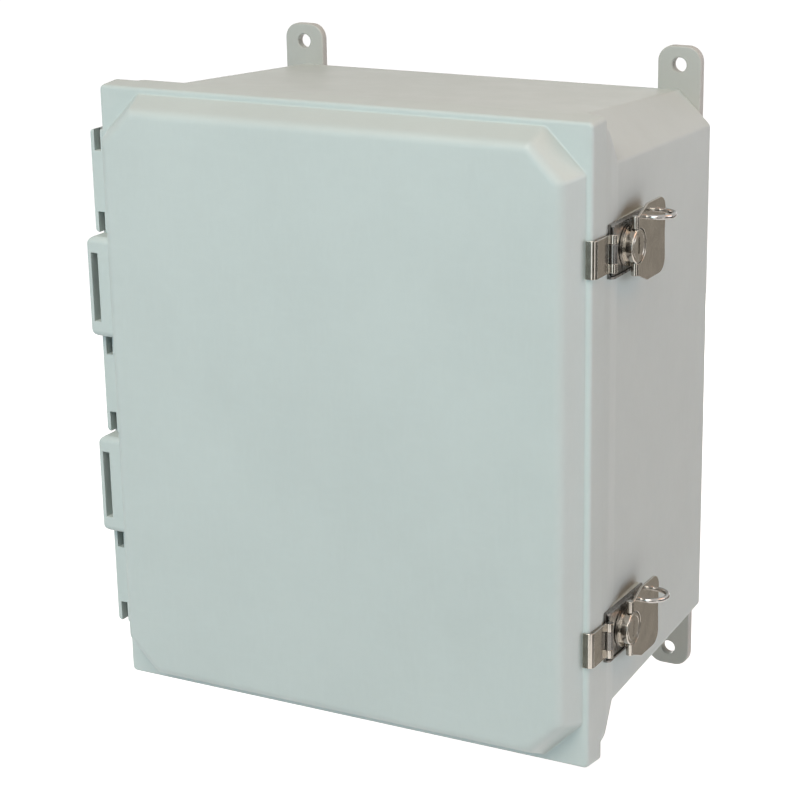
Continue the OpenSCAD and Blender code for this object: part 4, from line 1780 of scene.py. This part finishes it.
@dataclass(frozen=True)
class Lamp:
    """Soft rectangular lamp that points at the enclosure's middle.

    Attributes:
        name: Name of the lamp.
        place: Where it stands.
        size: Length of its sides.
        power: Power in watts.
        colour: Colour of its light.
    """

    name: str
    place: Place
    size: float
    power: float
    colour: Colour

    def build(self) -> None:
        """Adds the lamp."""
        deselect()
        bpy.ops.object.light_add(type="AREA", location=self.place)
        lamp = bpy.context.object
        lamp.name = self.name
        lamp.rotation_euler = facing(self.place, MIDDLE, "-Z")
        lamp.data.shape = "SQUARE"
        lamp.data.size = self.size
        lamp.data.energy = self.power
        lamp.data.color = self.colour


@dataclass(frozen=True)
class Card:
    """Grey card that faces the latches and shows only in glossy faces.

    Attributes:
        place: Middle of the card.
        size: Length of its sides.
        tone: Its colour.
    """

    place: Place
    size: float
    tone: Colour

    def build(self) -> None:
        """Adds the card."""
        deselect()
        bpy.ops.mesh.primitive_plane_add(size=self.size, location=self.place)
        plane = bpy.context.object
        plane.name = "card"
        plane.rotation_euler = facing(self.place, LATCH_SIDE, "Z")
        graph = Graph(bpy.data.materials.new("card_grey"))
        graph.show(graph.node("ShaderNodeEmission", Color=(*self.tone, 1.0)).outputs[0])
        plane.data.materials.append(graph.owner)
        plane.visible_camera = plane.visible_diffuse = plane.visible_shadow = False


@dataclass
class Studio:
    """White studio: floor, world, cards, lamps and the camera.

    Attributes:
        eye: Place of the camera.
        turn_deg: Turn of the camera.
        lens: Focal length in millimetres.
        shift: Shift of the picture.
        floor_z: Height of the floor.
        floor_half: Half length of its sides.
        glow_near: Distance from the middle, and the floor's glow there.
        glow_far: The same where the glow ends.
        ambient: Strength of the even light.
        cards: Cards that the latches mirror.
        lamps: All lamps.
    """

    eye: Place = (0.5788, -1.1521, 0.3611)
    turn_deg: Place = (72.281, 0.868, 28.243)
    lens: float = 102.84
    shift: Span = (-0.025, 0.03125)
    floor_z: float = -0.42
    floor_half: float = 15.0
    glow_near: Span = (0.3, 0.8)
    glow_far: Span = (1.6, 1.0)
    ambient: float = 0.06
    cards: tuple[Card, ...] = (
        Card((0.45, 0.42, -0.18), 0.5, (0.38, 0.35, 0.31)),
        Card((-0.12, -0.72, -0.19), 0.48, (0.21, 0.23, 0.205)),
        Card((0.84, -0.04, -0.2), 0.8, (0.10, 0.095, 0.08)),
        Card((0.62, -0.86, -0.25), 0.6, (0.10, 0.095, 0.08)),
    )
    lamps: tuple[Lamp, ...] = (
        Lamp("key", (0.0, -1.75, 1.75), 1.4, 46.0, (1.0, 0.92, 0.85)),
        Lamp("front", (-0.3, -2.6, 0.5), 1.6, 15.0, (0.39, 0.78, 1.0)),
        Lamp("warm", (1.5, 0.4, 1.6), 1.2, 8.5, (1.0, 0.46, 0.2)),
        Lamp("side", (2.3, 0.3, 0.3), 1.2, 21.0, (0.88, 0.90, 1.0)),
        Lamp("back", (-0.6, 1.7, -0.14), 0.5, 7.0, (1.0, 0.97, 0.94)),
    )

    def camera(self) -> None:
        """Adds the camera at the photograph's view."""
        deselect()
        bpy.ops.object.camera_add(location=self.eye, rotation=[math.radians(a) for a in self.turn_deg])
        camera = bpy.context.object
        camera.name = "camera"
        camera.data.lens = self.lens
        camera.data.sensor_width = 36.0
        camera.data.shift_x, camera.data.shift_y = self.shift
        camera.data.clip_start, camera.data.clip_end = 0.05, 60.0
        bpy.context.scene.camera = camera

    def world(self) -> None:
        """Sets a white surround that lights the object evenly."""
        world = bpy.data.worlds.new("studio")
        bpy.context.scene.world = world
        graph = Graph(world)
        light = graph.node("ShaderNodeBackground", Color=(0.97, 0.985, 1.0, 1.0), Strength=self.ambient)
        white = graph.node("ShaderNodeBackground", Color=(1.0, 1.0, 1.0, 1.0))
        mix = graph.node("ShaderNodeMixShader", Fac=graph.seen())
        graph.feed(mix.inputs[1], light.outputs[0])
        graph.feed(mix.inputs[2], white.outputs[0])
        graph.show(mix.outputs[0])

    def floor(self) -> None:
        """Adds the pale floor, which looks white and keeps soft shadows."""
        deselect()
        bpy.ops.mesh.primitive_plane_add(size=2 * self.floor_half, location=(0, 0, self.floor_z))
        plane = bpy.context.object
        plane.name = "floor"
        graph = Graph(bpy.data.materials.new("floor_white"))
        graph.surface(Base_Color=(0.86, 0.86, 0.86, 1.0), Roughness=0.95, Specular_IOR_Level=0.0)
        away = graph.node("ShaderNodeVectorMath", operation="LENGTH")
        graph.feed(away.inputs[0], graph.place)
        level = graph.band(away.outputs["Value"], self.glow_near, self.glow_far)
        glow = graph.node("ShaderNodeEmission", Strength=graph.math("MULTIPLY", graph.seen(), level))
        both = graph.node("ShaderNodeAddShader")
        graph.feed(both.inputs[0], graph.tree.nodes["Principled BSDF"].outputs[0])
        graph.feed(both.inputs[1], glow.outputs[0])
        graph.show(both.outputs[0])
        plane.data.materials.append(graph.owner)

    def build(self) -> None:
        """Builds the studio."""
        bpy.context.scene.view_settings.view_transform = "Standard"
        self.camera()
        self.world()
        self.floor()
        for thing in (*self.cards, *self.lamps):
            thing.build()


def main() -> None:
    """Builds the enclosure piece by piece, then the studio."""
    logging.basicConfig(level=logging.INFO, format="%(name)s: %(message)s")
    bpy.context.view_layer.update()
    dresser = Dresser()
    Studio().build()
    for assembly in (BoxMoulding(), CoverMoulding(), Gasket(), HingePin(), Feet(), PanelInserts(), Latches()):
        assembly.build(dresser)
        LOG.info("%s is done", type(assembly).__name__)
    deselect()


if __name__ == "__main__":
    main()
